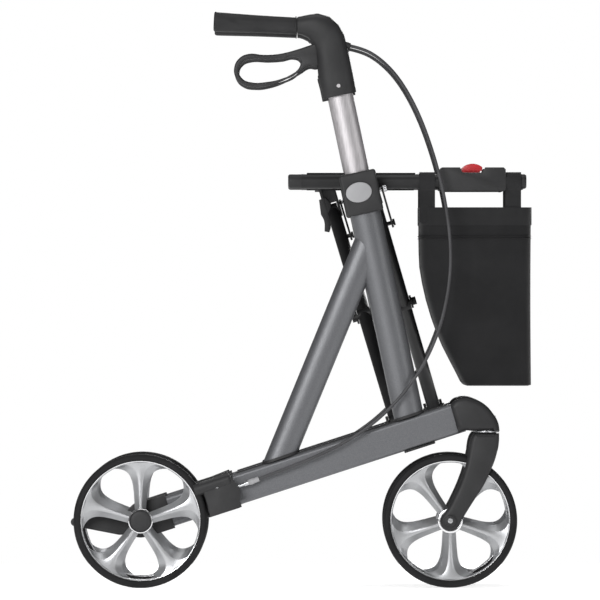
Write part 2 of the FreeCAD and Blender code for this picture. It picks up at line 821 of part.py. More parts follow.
def brace_leg(low_side, rear):
    """One leg of the X, from a lower eye on one side to an upper eye on the other."""
    low = leg_place(low_side * seat_half_width, 0)
    high = leg_place(-low_side * seat_half_width, leg_rise)
    along = (high - low).normalize()
    middle = (low + high) * 0.5
    body = cylinder(leg_radius, low, high)
    for start, end in ((low, middle), (middle, high)):
        body = body.cut(cylinder(leg_radius - leg_wall, start + along * eye_radius, end - along * eye_radius))
    for centre, half in ((low, eye_half), (middle, eye_half)):
        body = body.fuse(cylinder(eye_radius, centre - FORWARD * half, centre + FORWARD * half))
    for start in (-60 - top_eye_half, top_eye_half):
        body = body.cut(box(start, start + 60, -14, 14, -14, 60).translated(high))
    top_eye = cylinder(eye_radius, high - FORWARD * top_eye_half, high + FORWARD * top_eye_half)
    over_eye = box(-20, 20, -400, 400, leg_rise + 4, leg_rise + 60)
    body = body.cut(over_eye).fuse(top_eye)
    for centre in (low, middle, high):
        body = body.cut(cylinder(pivot_radius + running_gap, centre - FORWARD * 30, centre + FORWARD * 30))
    return on_brace(body.fuse(stay_stud(low_side, rear)), rear)


def stay_plane(rear):
    """Where the stay lies in front of its leg."""
    return top_eye_half + ear_gap + ear_thick + (0.5 if rear else 3.0)


def stud_place(side):
    share = stay_stud_in / (2 * seat_half_width)
    return leg_place(side * (seat_half_width - stay_stud_in), leg_rise * (1 - share))


def stay_stud(low_side, rear):
    """The pin on the leg that the stay's open end holds."""
    centre = stud_place(-low_side)
    front = stay_plane(rear) + stay_thick + 0.4
    root = centre + FORWARD * (leg_radius - leg_wall)
    stud = cylinder(stay_stud_radius, root, centre + FORWARD * (front + 1))
    return stud.fuse(cylinder(5.0, centre + FORWARD * front, centre + FORWARD * (front + 3)))


def stay_pin_place(side):
    return leg_place(side * (seat_half_width + stay_pin_out), leg_rise + stay_pin_up)


def stay(side, rear):
    """The flat bar from the frame's pin, whose slotted end holds the leg open."""
    pin = stay_pin_place(side)
    stud = stud_place(side)
    back = stay_plane(rear)
    front = back + stay_thick
    along = (stud - pin).normalize()
    square = FORWARD.cross(along)
    half = stay_width / 2
    corners = [pin + square * half, stud + square * half, stud - square * half, pin - square * half]
    face = Part.Face(Part.makePolygon(corners + corners[:1]))
    bar = face.extrude(FORWARD * stay_thick)
    bar.translate(FORWARD * back)
    for centre, radius in ((pin, half), (stud, 7.5)):
        bar = bar.fuse(cylinder(radius, centre + FORWARD * back, centre + FORWARD * front))
    bar = bar.cut(cylinder(3.05, pin, pin + FORWARD * 60))
    room = stay_stud_radius + stay_slot_gap
    slot = box(-1, 60, -room, room, 0, 40)
    slot.rotate(ORIGIN, FORWARD, -side * stay_slot_lean)
    slot.translate(stud)
    bar = bar.cut(slot).cut(cylinder(room, stud, stud + FORWARD * 60))
    return on_brace(bar, rear)


def stay_pin(side, rear):
    """The screw in the collar that the stay turns on, cut off at the collar's face."""
    centre = stay_pin_place(side)
    back = stay_plane(rear)
    front = back + stay_thick
    if rear:
        pin = cylinder(3.0, centre + FORWARD * (back - 1), centre + FORWARD * (front + 8))
        pin = pin.fuse(cylinder(5.0, centre + FORWARD * (back - 3.9), centre + FORWARD * (back - 0.4)))
    else:
        pin = cylinder(3.0, centre + FORWARD * (back - 12), centre + FORWARD * (front + 1))
        pin = pin.fuse(cylinder(5.0, centre + FORWARD * (front + 0.4), centre + FORWARD * (front + 5)))
    pin = on_brace(pin, rear)
    collar = height_collar()
    return largest(pin.cut(collar if side < 0 else mirrored(collar)))


def brace_pivot():
    """The bolt through both legs, with a spacer between them."""
    front = eye_half + ear_gap
    rear = -leg_spacing - eye_half - ear_gap
    centre = leg_place(0, leg_rise / 2)
    body = cylinder(pivot_radius, centre + FORWARD * rear, centre + FORWARD * front)
    body = body.fuse(cylinder(9.0, centre + FORWARD * (-leg_spacing + front), centre - FORWARD * front))
    for start, way in ((front, 1), (rear, -1)):
        outer = centre + FORWARD * start
        body = body.fuse(cylinder(10.0, outer, outer + FORWARD * (3 * way)))
        body = body.fuse(cylinder(6.0, outer, outer + FORWARD * (9 * way)))
    return on_brace(body)


def brace_bracket(side, rear):
    """The plate on the beam's inner face, the strap under the beam and the ears of the lower pivot."""
    low = leg_place(side * seat_half_width, 0)
    plate_inner = beam_inner - 5.0
    ears = []
    for start in (-eye_half - ear_gap - ear_thick, eye_half + ear_gap):
        ear = cylinder(eye_radius, low + FORWARD * start, low + FORWARD * (start + ear_thick))
        y0, y1 = sorted((side * seat_half_width, side * (plate_inner + 1.5)))
        ears.append(ear.fuse(box(start, start + ear_thick, y0, y1, -eye_radius - 15, eye_radius)))
    pin = cylinder(pivot_radius, low - FORWARD * (eye_half + ear_gap + ear_thick + 2),
                   low + FORWARD * (eye_half + ear_gap + ear_thick + 2))
    hinge = on_brace(ears[0].fuse(ears[1]).fuse(pin), rear)
    middle = (brace_low_x - leg_spacing / 2 * math.cos(brace) - rear_axle_x) / math.cos(slope)
    plate = on_beam(box(middle - 50, middle + 50, -beam_width, beam_width, -beam_half, beam_half - 4))
    if side > 0:
        plate = mirrored(plate)
    y0, y1 = sorted((side * plate_inner, side * beam_inner))
    plate = plate.common(box(-500, 500, y0, y1, 0, 800))
    strap_low = -beam_half - 3
    strap = on_beam(box(middle - 26, middle + 22, -beam_width / 2, beam_width / 2 + 5, strap_low, -beam_half))
    if side > 0:
        strap = mirrored(strap)
    return plate.fuse(hinge).fuse(strap)


# The seat


def seat_tube():
    y = -seat_half_width
    start = point(seat_tube_rear + rear_cap_length, y, seat_height)
    end = point(seat_tube_front - front_cap_length, y, seat_height)
    return ring(seat_tube_radius, seat_tube_radius - seat_tube_wall, start, end)


def seat_tube_caps():
    y = -seat_half_width
    caps = []
    ends = ((seat_tube_rear, rear_cap_length, rear_cap_step), (seat_tube_front, -front_cap_length, 0))
    for tip, run, step in ends:
        shoulder = point(tip + run, y, seat_height)
        flange = cylinder(seat_tube_radius - step, point(tip, y, seat_height), shoulder)
        rim_edges = [edge for edge in flange.Edges if abs(edge.BoundBox.Center.x - tip) < 0.01]
        flange = flange.makeFillet(cap_corner, rim_edges)
        plug = cylinder(seat_tube_radius - seat_tube_wall, shoulder,
                        shoulder + FORWARD * math.copysign(cap_plug, run))
        caps.append(flange.fuse(plug))
    return caps


def seat_saddle(side, rear):
    """The casting under a seat tube, whose two ears take the leg's upper eye."""
    high = leg_place(side * seat_half_width, leg_rise)
    ears = []
    for start in (-top_eye_half - ear_gap - ear_thick, top_eye_half + ear_gap):
        ear = cylinder(eye_radius, high + FORWARD * start, high + FORWARD * (start + ear_thick))
        ear = ear.fuse(box(start, start + ear_thick, side * seat_half_width - eye_radius,
                           side * seat_half_width + eye_radius, leg_rise, leg_rise + 60))
        ears.append(ear)
    pin = cylinder(pivot_radius, high - FORWARD * (top_eye_half + ear_gap + ear_thick),
                   high + FORWARD * (top_eye_half + ear_gap + ear_thick))
    inside = top_eye_half + ear_gap
    web = box(-inside, inside, side * seat_half_width - 8, side * seat_half_width + 8,
              leg_rise + eye_radius + 1.5, leg_rise + 60)
    hinge = on_brace(ears[0].fuse(ears[1]).fuse(pin).fuse(web), rear)
    y = side * seat_half_width
    hinge = hinge.common(box(-500, 500, y - 40, y + 40, 0, seat_height))
    drop = seat_drop if not rear else seat_drop + leg_spacing * math.tan(brace)
    middle = brace_low_x - (leg_spacing * math.cos(brace) if rear else 0)
    middle = middle - leg_rise * math.sin(brace) - drop * math.sin(brace)
    half = top_eye_half + ear_gap + ear_thick + 3
    low_gap = seat_tube_radius + 3
    saddle = cylinder(low_gap, point(middle - half, y, seat_height), point(middle + half, y, seat_height))
    saddle = saddle.common(box(-500, 500, y - eye_radius, y + eye_radius, seat_height - low_gap, seat_height))
    eye_room = cylinder(eye_radius + 0.6, high - FORWARD * (top_eye_half + ear_gap),
                        high + FORWARD * (top_eye_half + ear_gap))
    eye_room = eye_room.cut(cylinder(pivot_radius + 1, high - FORWARD * 30, high + FORWARD * 30))
    eye_room = on_brace(eye_room, rear)
    tube = cylinder(seat_tube_radius, point(-500, y, seat_height), point(500, y, seat_height))
    return hinge.fuse(saddle.cut(eye_room)).cut(tube)


def lock_body():
    """The accessory lock on the seat tube's front half, with a well for its button."""
    y = -seat_half_width
    top = seat_height + lock_top
    middle = (lock_rear + lock_front) / 2
    half = lock_button_length / 2 + 0.3
    outline = closed_wire(
        (lock_rear, seat_height - 12),
        (lock_rear, top - 5),
        ((lock_rear + 1.5, top - 1.5), (lock_rear + 5, top)),
        (middle - half - 4, top),
        (middle - half, top - 8),
        (middle + half, top - 8),
        (middle + half + 4, top),
        (lock_front - 3, top),
        (lock_front, top - 3),
        (lock_front, seat_height - 12),
        ((lock_front - 3, seat_height - 14), (lock_front - 8, seat_height - 14)),
        (lock_rear + 8, seat_height - 14),
    )
    body = slab(outline, y - lock_half_width, y + lock_half_width)
    well = box(middle - half, middle + half, y - lock_button_width / 2 - 0.3, y + lock_button_width / 2 + 0.3,
               seat_height, top + 5)
    tube = cylinder(seat_tube_radius, point(-500, y, seat_height), point(500, y, seat_height))
    return body.cut(well).cut(tube)


def lock_button():
    y = -seat_half_width
    middle = (lock_rear + lock_front) / 2
    half = lock_button_length / 2
    low = seat_height + seat_tube_radius + lock_travel + 0.5
    top = seat_height + lock_top + 5.5
    outline = closed_wire((middle - half, low), (middle + half, low), (middle + half, top - 5),
                          ((middle, top), (middle - half, top - 5)))
    return slab(outline, y - lock_button_width / 2, y + lock_button_width / 2)


def sling_face(half_width, edge, drop, thick):
    """The section of a hanging sheet across the walker, drawn with Y as X."""
    return closed_wire(
        (-half_width, edge), ((0, edge - drop), (half_width, edge)),
        (half_width, edge - thick), ((0, edge - drop - thick), (-half_width, edge - thick)))


def seat_sling():
    """The fabric between the seat tubes, and the folding strap sewn across its middle."""
    edge = seat_height + seat_tube_radius + 1.6 + sling_thick
    sheet = slab(sling_face(seat_half_width + 2, edge, sling_sag, sling_thick), -sling_front, -sling_rear)
    middle = (sling_rear + sling_front) / 2
    strap_face = sling_face(60, edge - sling_sag + 3.0, 1.4, 1.8)
    strap = slab(strap_face, -middle - strap_width / 2, -middle + strap_width / 2)
    pieces = []
    for shape in (sheet, strap):
        shape.rotate(ORIGIN, UP, 90)
        pieces.append(shape)
    return pieces


def bag_outline(inset):
    """The bag's side: upright in front, and sloped away from the brace behind."""
    rear = bag_rear + inset
    front = bag_front - inset
    low = bag_bottom + inset
    return closed_wire(
        (rear, bag_top + inset), (rear, bag_top - 92), ((rear + 21, bag_top - 173), (rear + 62, low + 6)),
        ((rear + 66, low + 1.5), (rear + 71, low)), (front - 5, low),
        ((front - 1.5, low + 1.5), (front, low + 5)),
        (front, bag_top + inset))


def shopping_bag():
    """The open bag and the four straps that hang it on the seat tubes."""
    bag = slab(bag_outline(0), -bag_half_width, bag_half_width)
    inner = bag_half_width - bag_wall
    bag = bag.cut(slab(bag_outline(bag_wall), -inner, inner))
    outer_radius = seat_tube_radius + 2.1
    places = (bag_rear, bag_front - 2 * bag_strap_inset - bag_strap_width + 8)
    for start in places:
        end = start + bag_strap_width
        for side in (-1, 1):
            y = side * seat_half_width
            loop = ring(outer_radius, seat_tube_radius + 0.3, point(start, y, seat_height),
                        point(end, y, seat_height))
            y0, y1 = sorted((side * (bag_half_width - bag_wall), side * bag_half_width))
            web = box(start, end, y0, y1, bag_top - 25, seat_height - seat_tube_radius - 0.6)
            bag = bag.fuse(loop).fuse(web)
    return bag


os.makedirs("parts", exist_ok=True)

save_pair("beam", beam())
save_pair("upright", upright())
save_pair("strut", strut())
save_pair("frame_seals", *frame_seals())
save_pair("height_collar", height_collar())
save_pair("height_button", height_button())
save_pair("caster_housing", caster_housing())
save_pair("rear_axle_housing", rear_axle_housing())
save_pair("brake_housing", brake_housing())
save_pair("brake_shoe", brake_shoe())
save_pair("caster_fork", caster_fork())
save_pair("front_axle", front_axle())
save_pair("front_rim", rim(front_axle_x, -frame_half_width, fork_inside - 0.5, front_axle_radius, 180))
save_pair("front_tyre", tyre(front_axle_x, -frame_half_width))
save_pair("rear_rim", rim(rear_axle_x, -rear_wheel_out, tyre_width / 2, rear_axle_radius, 0), rear_hub_cap())
save_pair("rear_tyre", tyre(rear_axle_x, -rear_wheel_out))
save_pair("handle_tube", handle_tube(), *handle_screws())
save_pair("handle_housing", handle_housing())
save_pair("grip", grip())
save_pair("brake_lever", brake_lever())
save_pair("brake_cable", brake_cable())
save_pair("seat_tube", seat_tube())
save_pair("lock_button", lock_button())

# The front leg's top is on the right and the rear leg's top is on the left.
for name, side, top_rear in (("right", -1, False), ("left", 1, True)):
    place = (lambda shape: shape) if side < 0 else mirrored
    hardware = [rear_axle(), brake_pin(), cable_ferrule()] + caster_bearings()
    hardware = [place(shape) for shape in hardware] + [stay_pin(side, top_rear)]
    save("frame_hardware_" + name, hardware)
    fittings = [place(shape) for shape in seat_tube_caps() + [lock_body()]]
    save("seat_fittings_" + name, fittings + [seat_saddle(side, top_rear)])
    save("brace_bracket_" + name, [brace_bracket(side, not top_rear)])
    save("stay_" + name, [stay(side, top_rear)])

save("brace_leg_front", [brace_leg(1, False)])
save("brace_leg_rear", [brace_leg(-1, True)])
save("brace_pivot", [brace_pivot()])
save("seat_sling", seat_sling())
save("shopping_bag", [shopping_bag()])
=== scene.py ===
import json
import math

import bmesh
import bpy
from mathutils import Matrix, Vector


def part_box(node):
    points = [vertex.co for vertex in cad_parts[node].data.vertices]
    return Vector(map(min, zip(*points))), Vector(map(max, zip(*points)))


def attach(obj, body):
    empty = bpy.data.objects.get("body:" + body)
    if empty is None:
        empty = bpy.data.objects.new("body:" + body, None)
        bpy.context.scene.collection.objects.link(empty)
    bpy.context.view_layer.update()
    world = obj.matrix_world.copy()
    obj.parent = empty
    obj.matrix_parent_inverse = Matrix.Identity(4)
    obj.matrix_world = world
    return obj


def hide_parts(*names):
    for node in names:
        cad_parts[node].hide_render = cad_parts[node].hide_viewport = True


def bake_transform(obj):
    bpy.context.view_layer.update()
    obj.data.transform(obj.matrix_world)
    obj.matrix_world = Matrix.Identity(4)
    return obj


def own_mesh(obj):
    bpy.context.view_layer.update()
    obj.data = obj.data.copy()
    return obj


MM = 0.001
SIDES = (("right", -1), ("left", 1))

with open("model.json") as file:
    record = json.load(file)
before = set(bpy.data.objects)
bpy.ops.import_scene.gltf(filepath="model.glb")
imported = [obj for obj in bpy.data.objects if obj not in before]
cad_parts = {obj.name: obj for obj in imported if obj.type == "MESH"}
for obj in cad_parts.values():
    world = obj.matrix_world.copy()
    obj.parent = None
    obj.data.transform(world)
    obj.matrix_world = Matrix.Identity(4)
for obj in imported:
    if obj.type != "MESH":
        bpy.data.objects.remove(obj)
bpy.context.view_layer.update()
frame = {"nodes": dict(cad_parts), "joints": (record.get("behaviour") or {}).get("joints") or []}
nodes = frame["nodes"]
joints = {joint["name"]: joint for joint in frame["joints"]}


def joint_place(name):
    return Vector(joints[name]["pos_m"])


def middle(node):
    low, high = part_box(node)
    return (low + high) / 2


# The camera

LENS = 1500
CAMERA_AWAY = 37.5675
CAMERA_HEIGHT = 0.4294
CAMERA_ACROSS = -0.0022

camera_data = bpy.data.cameras.new("camera")
camera_data.lens = LENS
camera_data.sensor_width = 36
camera_data.clip_start = 0.1
camera_data.clip_end = 1000
camera = bpy.data.objects.new("camera", camera_data)
camera.location = (CAMERA_ACROSS, -CAMERA_AWAY, CAMERA_HEIGHT)
camera.rotation_euler = (math.radians(90), 0, 0)
bpy.context.scene.collection.objects.link(camera)
bpy.context.scene.camera = camera


# Small tools for materials


def linear(code):
    """An sRGB hex colour as linear red, green, blue and alpha."""
    values = [int(code[place:place + 2], 16) / 255 for place in (1, 3, 5)]
    return [v / 12.92 if v <= 0.04045 else ((v + 0.055) / 1.055) ** 2.4 for v in values] + [1]


def add(tree, kind, settings=None, **links):
    """A shader node with its settings, and its inputs set to values or linked to other nodes' outputs."""
    node = tree.nodes.new("ShaderNode" + kind)
    for name, value in (settings or {}).items():
        setattr(node, name, value)
    for name, value in links.items():
        key = int(name[1:]) if name[0] == "_" and name[1:].isdigit() else name.replace("_", " ")
        if isinstance(value, bpy.types.NodeSocket):
            tree.links.new(value, node.inputs[key])
        else:
            node.inputs[key].default_value = value
    return node


def finish_of(name, roughness, metallic=0.0, **sockets):
    """A new material with its principled shader, and the tree to hang patterns in."""
    material = bpy.data.materials.new(name)
    material.use_nodes = True
    tree = material.node_tree
    shader = tree.nodes["Principled BSDF"]
    shader.inputs["Roughness"].default_value = roughness
    shader.inputs["Metallic"].default_value = metallic
    for key, value in sockets.items():
        shader.inputs[key.replace("_", " ")].default_value = value
    return material, tree, shader


def two_tones(tree, shader, first, second, pattern, low=0.35, high=0.65):
    """Colour that runs from one hex tone to another with a pattern."""
    ramp = add(tree, "ValToRGB", Fac=pattern)
    ramp.color_ramp.elements[0].position = low
    ramp.color_ramp.elements[1].position = high
    ramp.color_ramp.elements[0].color = linear(first)
    ramp.color_ramp.elements[1].color = linear(second)
    tree.links.new(ramp.outputs["Color"], shader.inputs["Base Color"])


def roughness_range(tree, shader, pattern, low, high):
    scaled = add(tree, "MapRange", Value=pattern, To_Min=low, To_Max=high)
    tree.links.new(scaled.outputs["Result"], shader.inputs["Roughness"])


def bump(tree, shader, pattern, height, strength=0.5, under=None):
    node = add(tree, "Bump", Height=pattern, Distance=height, Strength=strength)
    if under:
        tree.links.new(under.outputs["Normal"], node.inputs["Normal"])
    tree.links.new(node.outputs["Normal"], shader.inputs["Normal"])
    return node


def noise(tree, size_mm, detail=3.0, stretch=(1, 1, 1)):
    """Noise whose lumps are about one size across, on the walker's own coordinates."""
    place = add(tree, "TexCoord").outputs["Object"]
    place = add(tree, "Mapping", Vector=place, Scale=stretch).outputs["Vector"]
    return add(tree, "TexNoise", Vector=place, Scale=1000 / size_mm, Detail=detail).outputs["Fac"]


def moulded(name, dark, light, grain_mm=0.9, roughness=(0.42, 0.58), relief=0.00012, gloss=0.3):
    """Moulded plastic or rubber: an even colour with a fine spark-eroded grain and slight handling marks."""
    material, tree, shader = finish_of(name, roughness[0], Specular_IOR_Level=gloss)
    two_tones(tree, shader, dark, light, noise(tree, 45))
    roughness_range(tree, shader, noise(tree, 22), *roughness)
    bump(tree, shader, noise(tree, grain_mm, 2), relief, 0.35)
    return material


def painted(name, dark, light, metallic, roughness, fleck_mm=0.7):
    """Metallic paint over aluminium: fine flecks under a satin coat with a little orange peel."""
    material, tree, shader = finish_of(name, roughness[0], metallic, Coat_Weight=0.25, Coat_Roughness=0.25)
    two_tones(tree, shader, dark, light, noise(tree, fleck_mm, 1), 0.3, 0.7)
    roughness_range(tree, shader, noise(tree, 30), *roughness)
    bump(tree, shader, noise(tree, 4), 0.00006, 0.2)
    return material


def brushed(name, dark, light, roughness, stretch, metallic=1.0):
    """Anodised or drawn metal: fine streaks along the piece."""
    material, tree, shader = finish_of(name, roughness[0], metallic)
    streaks = noise(tree, 1.4, 2, stretch)
    two_tones(tree, shader, dark, light, streaks)
    roughness_range(tree, shader, streaks, *roughness)
    bump(tree, shader, streaks, 0.00003, 0.2)
    return material


STRIPES_PER_METRE = 3.1416  # about what a wave texture of scale 1 draws


def woven(name, dark, light, thread_mm, roughness=0.85):
    """Coated polyester cloth: crossed threads, drawn about twice their real spacing so that they show."""
    material, tree, shader = finish_of(name, roughness, 0.0, Sheen_Weight=0.08, Sheen_Roughness=0.5,
                                       Specular_IOR_Level=0.2)
    place = add(tree, "TexCoord").outputs["Object"]
    waves = []
    for direction in ("X", "Y", "Z"):
        wave = add(tree, "TexWave", {"bands_direction": direction, "wave_profile": "SIN"}, Vector=place,
                   Scale=1000 / thread_mm / STRIPES_PER_METRE, Distortion=0.6, Detail=1.0)
        waves.append(wave.outputs["Fac"])
    first = add(tree, "Math", {"operation": "MULTIPLY"}, _0=waves[0], _1=waves[2]).outputs[0]
    weave = add(tree, "Math", {"operation": "ADD"}, _0=first, _1=waves[1]).outputs[0]
    two_tones(tree, shader, dark, light, noise(tree, 70))
    creases = bump(tree, shader, noise(tree, 55, 4), 0.0012, 0.5)
    bump(tree, shader, weave, 0.00015, 0.35, creases)
    return material


# ABS mouldings: black with a soft satin shine and a fine moulded grain.
black_plastic = moulded("satin_black_abs", "#262627", "#2e2e2f")
# Glass-filled nylon of the levers: a touch lighter, with finer grain.
lever_plastic = moulded("glass_filled_nylon", "#29292a", "#313132", 0.7, (0.4, 0.52))
# Thermoplastic rubber: duller than the mouldings and slightly pebbled.
grip_rubber = moulded("soft_grip_rubber", "#232324", "#2b2b2c", 1.2, (0.55, 0.72), 0.0002)
# Solid polyurethane tyre: matt, with faint dust in the grain.
tyre_rubber = moulded("solid_tyre_rubber", "#181819", "#212122", 1.5, (0.6, 0.8), 0.00025, 0.2)
# Powder coat on steel tube: fine texture and a soft shine.
black_coat = moulded("black_powder_coat", "#1b1b1c", "#232324", 1.1, (0.36, 0.5), 0.0001)
# Metallic grey paint on extruded aluminium.
grey_paint = painted("metallic_grey_paint", "#5a5b5e", "#6b6c6f", 0.5, (0.38, 0.5))
# Silver paint on a moulded wheel: bright, with broad soft highlights.
wheel_paint = painted("silver_wheel_paint", "#a4a5a7", "#b8b9bb", 0.8, (0.3, 0.4), 0.5)
# Natural anodised aluminium tube, brushed along its length.
silver_tube = brushed("anodised_aluminium", "#a9a6a8", "#bdbabc", (0.36, 0.48), (1, 1, 0.05), 0.75)
# Zinc-plated steel bolts, pins and bearing rings.
bright_steel = brushed("plated_steel", "#b0b1b3", "#c9cacc", (0.2, 0.34), (0.3, 1, 1))
# Polished lips and rings of the wheels.
polished_ring = brushed("polished_aluminium", "#e4e4e6", "#f2f2f3", (0.12, 0.2), (1, 1, 1))
# Pale grey ABS of the height buttons and the cable stops: smooth and satin.
pale_button = moulded("pale_grey_abs", "#99999b", "#a4a4a6", 0.8, (0.4, 0.5), 0.00008)
# Red ABS of the lock's dome: polished, so it shines more than the rest.
red_button = moulded("gloss_red_abs", "#b0272c", "#bd3136", 0.8, (0.2, 0.32), 0.00004, 0.5)
# PVC cable jacket: smooth dark grey that catches a thin line of light.
cable_jacket = moulded("pvc_cable_jacket", "#38383a", "#444446", 0.6, (0.35, 0.5), 0.00005)
# PVC-coated polyester of the bag: matt black, with soft creases and a fine crossed weave.
bag_cloth = woven("coated_polyester", "#1c1c1d", "#232324", 1.1)
# Heavy webbing of the seat: the same cloth with a coarser thread.
seat_cloth = woven("heavy_seat_webbing", "#18181a", "#202022", 1.6)
# Woven tape that binds the bag's hem and makes its straps: flatter and a little smoother.
binding = woven("bound_edge_tape", "#1d1d1e", "#262627", 0.9, 0.75)
# Doubled sewing thread: darker than the cloth, so that a seam reads as a line.
thread = moulded("sewing_thread", "#141415", "#1a1a1b", 0.5, (0.6, 0.7), 0.00005)


# Small tools for shapes


def shown(name, mesh, material, body, node=None, sharp=35):
    """Puts a finished mesh in the scene, on its body, and hides the CAD node that it stands for."""
    mesh.name = name
    mesh.materials.clear()
    mesh.materials.append(material)
    mesh.shade_smooth()
    mesh.set_sharp_from_angle(angle=math.radians(sharp))
    piece = bpy.data.objects.new(name, mesh)
    bpy.context.scene.collection.objects.link(piece)
    if body:
        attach(piece, body)
    if node:
        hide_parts(*([node] if isinstance(node, str) else node))
    return piece


def mesh_of(bm):
    """The bmesh as a mesh, with its faces turned outwards."""
    bmesh.ops.recalc_face_normals(bm, faces=bm.faces)
    mesh = bpy.data.meshes.new("mesh")
    bm.to_mesh(mesh)
    bm.free()
    return mesh


def with_modifiers(mesh, *modifiers):
    """The mesh with modifiers, each a type and its settings, already applied."""
    scratch = bpy.data.objects.new("scratch", mesh)
    bpy.context.scene.collection.objects.link(scratch)
    for kind, settings in modifiers:
        modifier = scratch.modifiers.new(kind, kind)
        for key, value in settings.items():
            setattr(modifier, key, value)
    bpy.context.view_layer.update()
    evaluated = scratch.evaluated_get(bpy.context.evaluated_depsgraph_get())
    result = bpy.data.meshes.new_from_object(evaluated)
    bpy.data.objects.remove(scratch)
    return result


def cut_away(mesh, *cutters):
    """The mesh with other meshes cut out of it."""
    for cutter in cutters:
        tool = bpy.data.objects.new("cutter", cutter)
        bpy.context.scene.collection.objects.link(tool)
        settings = {"operation": "DIFFERENCE", "solver": "EXACT", "object": tool}
        mesh = with_modifiers(mesh, ("BOOLEAN", settings))
        bpy.data.objects.remove(tool)
    return mesh


def rounded_copy(node, width, segments=3, angle=28):
    """A CAD node's shape with its flat faces joined up and its hard edges rounded."""
    bm = bmesh.new()
    bm.from_mesh(nodes[node].data)
    bmesh.ops.remove_doubles(bm, verts=bm.verts, dist=0.00002)
    bmesh.ops.dissolve_limit(bm, angle_limit=math.radians(1.0), verts=bm.verts, edges=bm.edges)
    mesh = bpy.data.meshes.new("mesh")
    bm.to_mesh(mesh)
    bm.free()
    settings = {"width": width, "segments": segments, "limit_method": "ANGLE",
                "angle_limit": math.radians(angle), "use_clamp_overlap": True, "profile": 0.5}
    return with_modifiers(mesh, ("BEVEL", settings))


def plate(outline, half, bevel, place, holes=(), steps=10):
    """A flat plate in the XZ plane with rounded edges, from millimetre points about a place.
    A point with a third value has a hard corner."""
    curve = bpy.data.curves.new("outline", "CURVE")
    curve.dimensions = "2D"
    curve.fill_mode = "BOTH"
    for points in (outline, *holes):
        spline = curve.splines.new("BEZIER")
        spline.bezier_points.add(len(points) - 1)
        for knot, point in zip(spline.bezier_points, points):
            knot.co = (point[0] * MM, point[1] * MM, 0)
            kind = "VECTOR" if len(point) > 2 else "AUTO"
            knot.handle_left_type = knot.handle_right_type = kind
        spline.use_cyclic_u = True
        spline.resolution_u = steps
    curve.extrude = (half - bevel) * MM
    curve.bevel_depth = bevel * MM
    curve.bevel_resolution = 3
    curve.offset = -bevel * MM
    scratch = bpy.data.objects.new("scratch", curve)
    bpy.context.scene.collection.objects.link(scratch)
    bpy.context.view_layer.update()
    mesh = bpy.data.meshes.new_from_object(scratch.evaluated_get(bpy.context.evaluated_depsgraph_get()))
    bpy.data.objects.remove(scratch)
    mesh.transform(Matrix.Translation(place) @ Matrix.Rotation(math.radians(90), 4, "X"))
    return joined_up(mesh)


def joined_up(mesh, distance=0.00001):
    """The mesh with its doubled corners merged."""
    bm = bmesh.new()
    bm.from_mesh(mesh)
    bmesh.ops.remove_doubles(bm, verts=bm.verts, dist=distance)
    return mesh_of(bm)


def lathed(profile, place, steps=96):
    """A piece turned about the Y axis through a place, from (radius, y) points in millimetres."""
    bm = bmesh.new()
    corners = [bm.verts.new((0, y * MM, radius * MM)) for radius, y in profile]
    edges = [bm.edges.new(pair) for pair in zip(corners, corners[1:])]
    bmesh.ops.spin(bm, geom=corners + edges, cent=(0, 0, 0), axis=(0, 1, 0), angle=math.tau, steps=steps,
                   use_merge=True)
    bmesh.ops.remove_doubles(bm, verts=bm.verts, dist=0.000005)
    bmesh.ops.translate(bm, verts=bm.verts, vec=place)
    return mesh_of(bm)


def skinned(rings, filled=(0, -1)):
    """A skin over rings of points, in metres. Filled says which rings are closed with a face."""
    bm = bmesh.new()
    before = None
    ends = []
    for ring in rings:
        corners = [bm.verts.new(place) for place in ring]
        edges = [bm.edges.new(pair) for pair in zip(corners, corners[1:] + corners[:1])]
        if before:
            bmesh.ops.bridge_loops(bm, edges=before + edges)
        before = edges
        ends.append(edges)
    for end in filled:
        bmesh.ops.contextual_create(bm, geom=ends[end])
    return mesh_of(bm)


def block(low, high, bevel=0.0, segments=3):
    """A box between two corners, with its edges bevelled."""
    bm = bmesh.new()
    bmesh.ops.create_cube(bm, size=1)
    size = [b - a for a, b in zip(low, high)]
    bmesh.ops.scale(bm, vec=size, verts=bm.verts)
    bmesh.ops.translate(bm, vec=[(a + b) / 2 for a, b in zip(low, high)], verts=bm.verts)
    if bevel:
        bmesh.ops.bevel(bm, geom=bm.edges[:], offset=bevel, segments=segments, profile=0.5, affect="EDGES",
                        material=-1)
    return mesh_of(bm)


def together(*meshes):
    """Several meshes as one."""
    bm = bmesh.new()
    for mesh in meshes:
        bm.from_mesh(mesh)
    mesh = bpy.data.meshes.new("mesh")
    bm.to_mesh(mesh)
    bm.free()
    return mesh


# The brake cables

CABLE_DIAMETER = 0.005
CABLE_ROUTE = (
    (73.0, -262.0, 808.5),
    (91.0, -262.0, 804.5),
    (113.0, -262.0, 793.0),
    (137.0, -262.0, 771.0),
    (158.0, -262.0, 741.0),
    (178.0, -262.5, 701.0),
    (196.0, -264.0, 651.0),
    (210.5, -266.0, 598.0),
    (220.0, -268.5, 543.0),
    (223.5, -272.0, 489.0),
    (218.5, -277.0, 437.0),
    (205.5, -282.0, 384.0),
    (183.0, -285.5, 333.0),
    (151.0, -287.0, 287.5),
    (111.5, -287.0, 248.0),
    (65.0, -286.0, 216.5),
    (14.5, -285.0, 192.5),
    (-33.0, -284.0, 174.0),
    (-72.0, -283.5, 159.5),
)


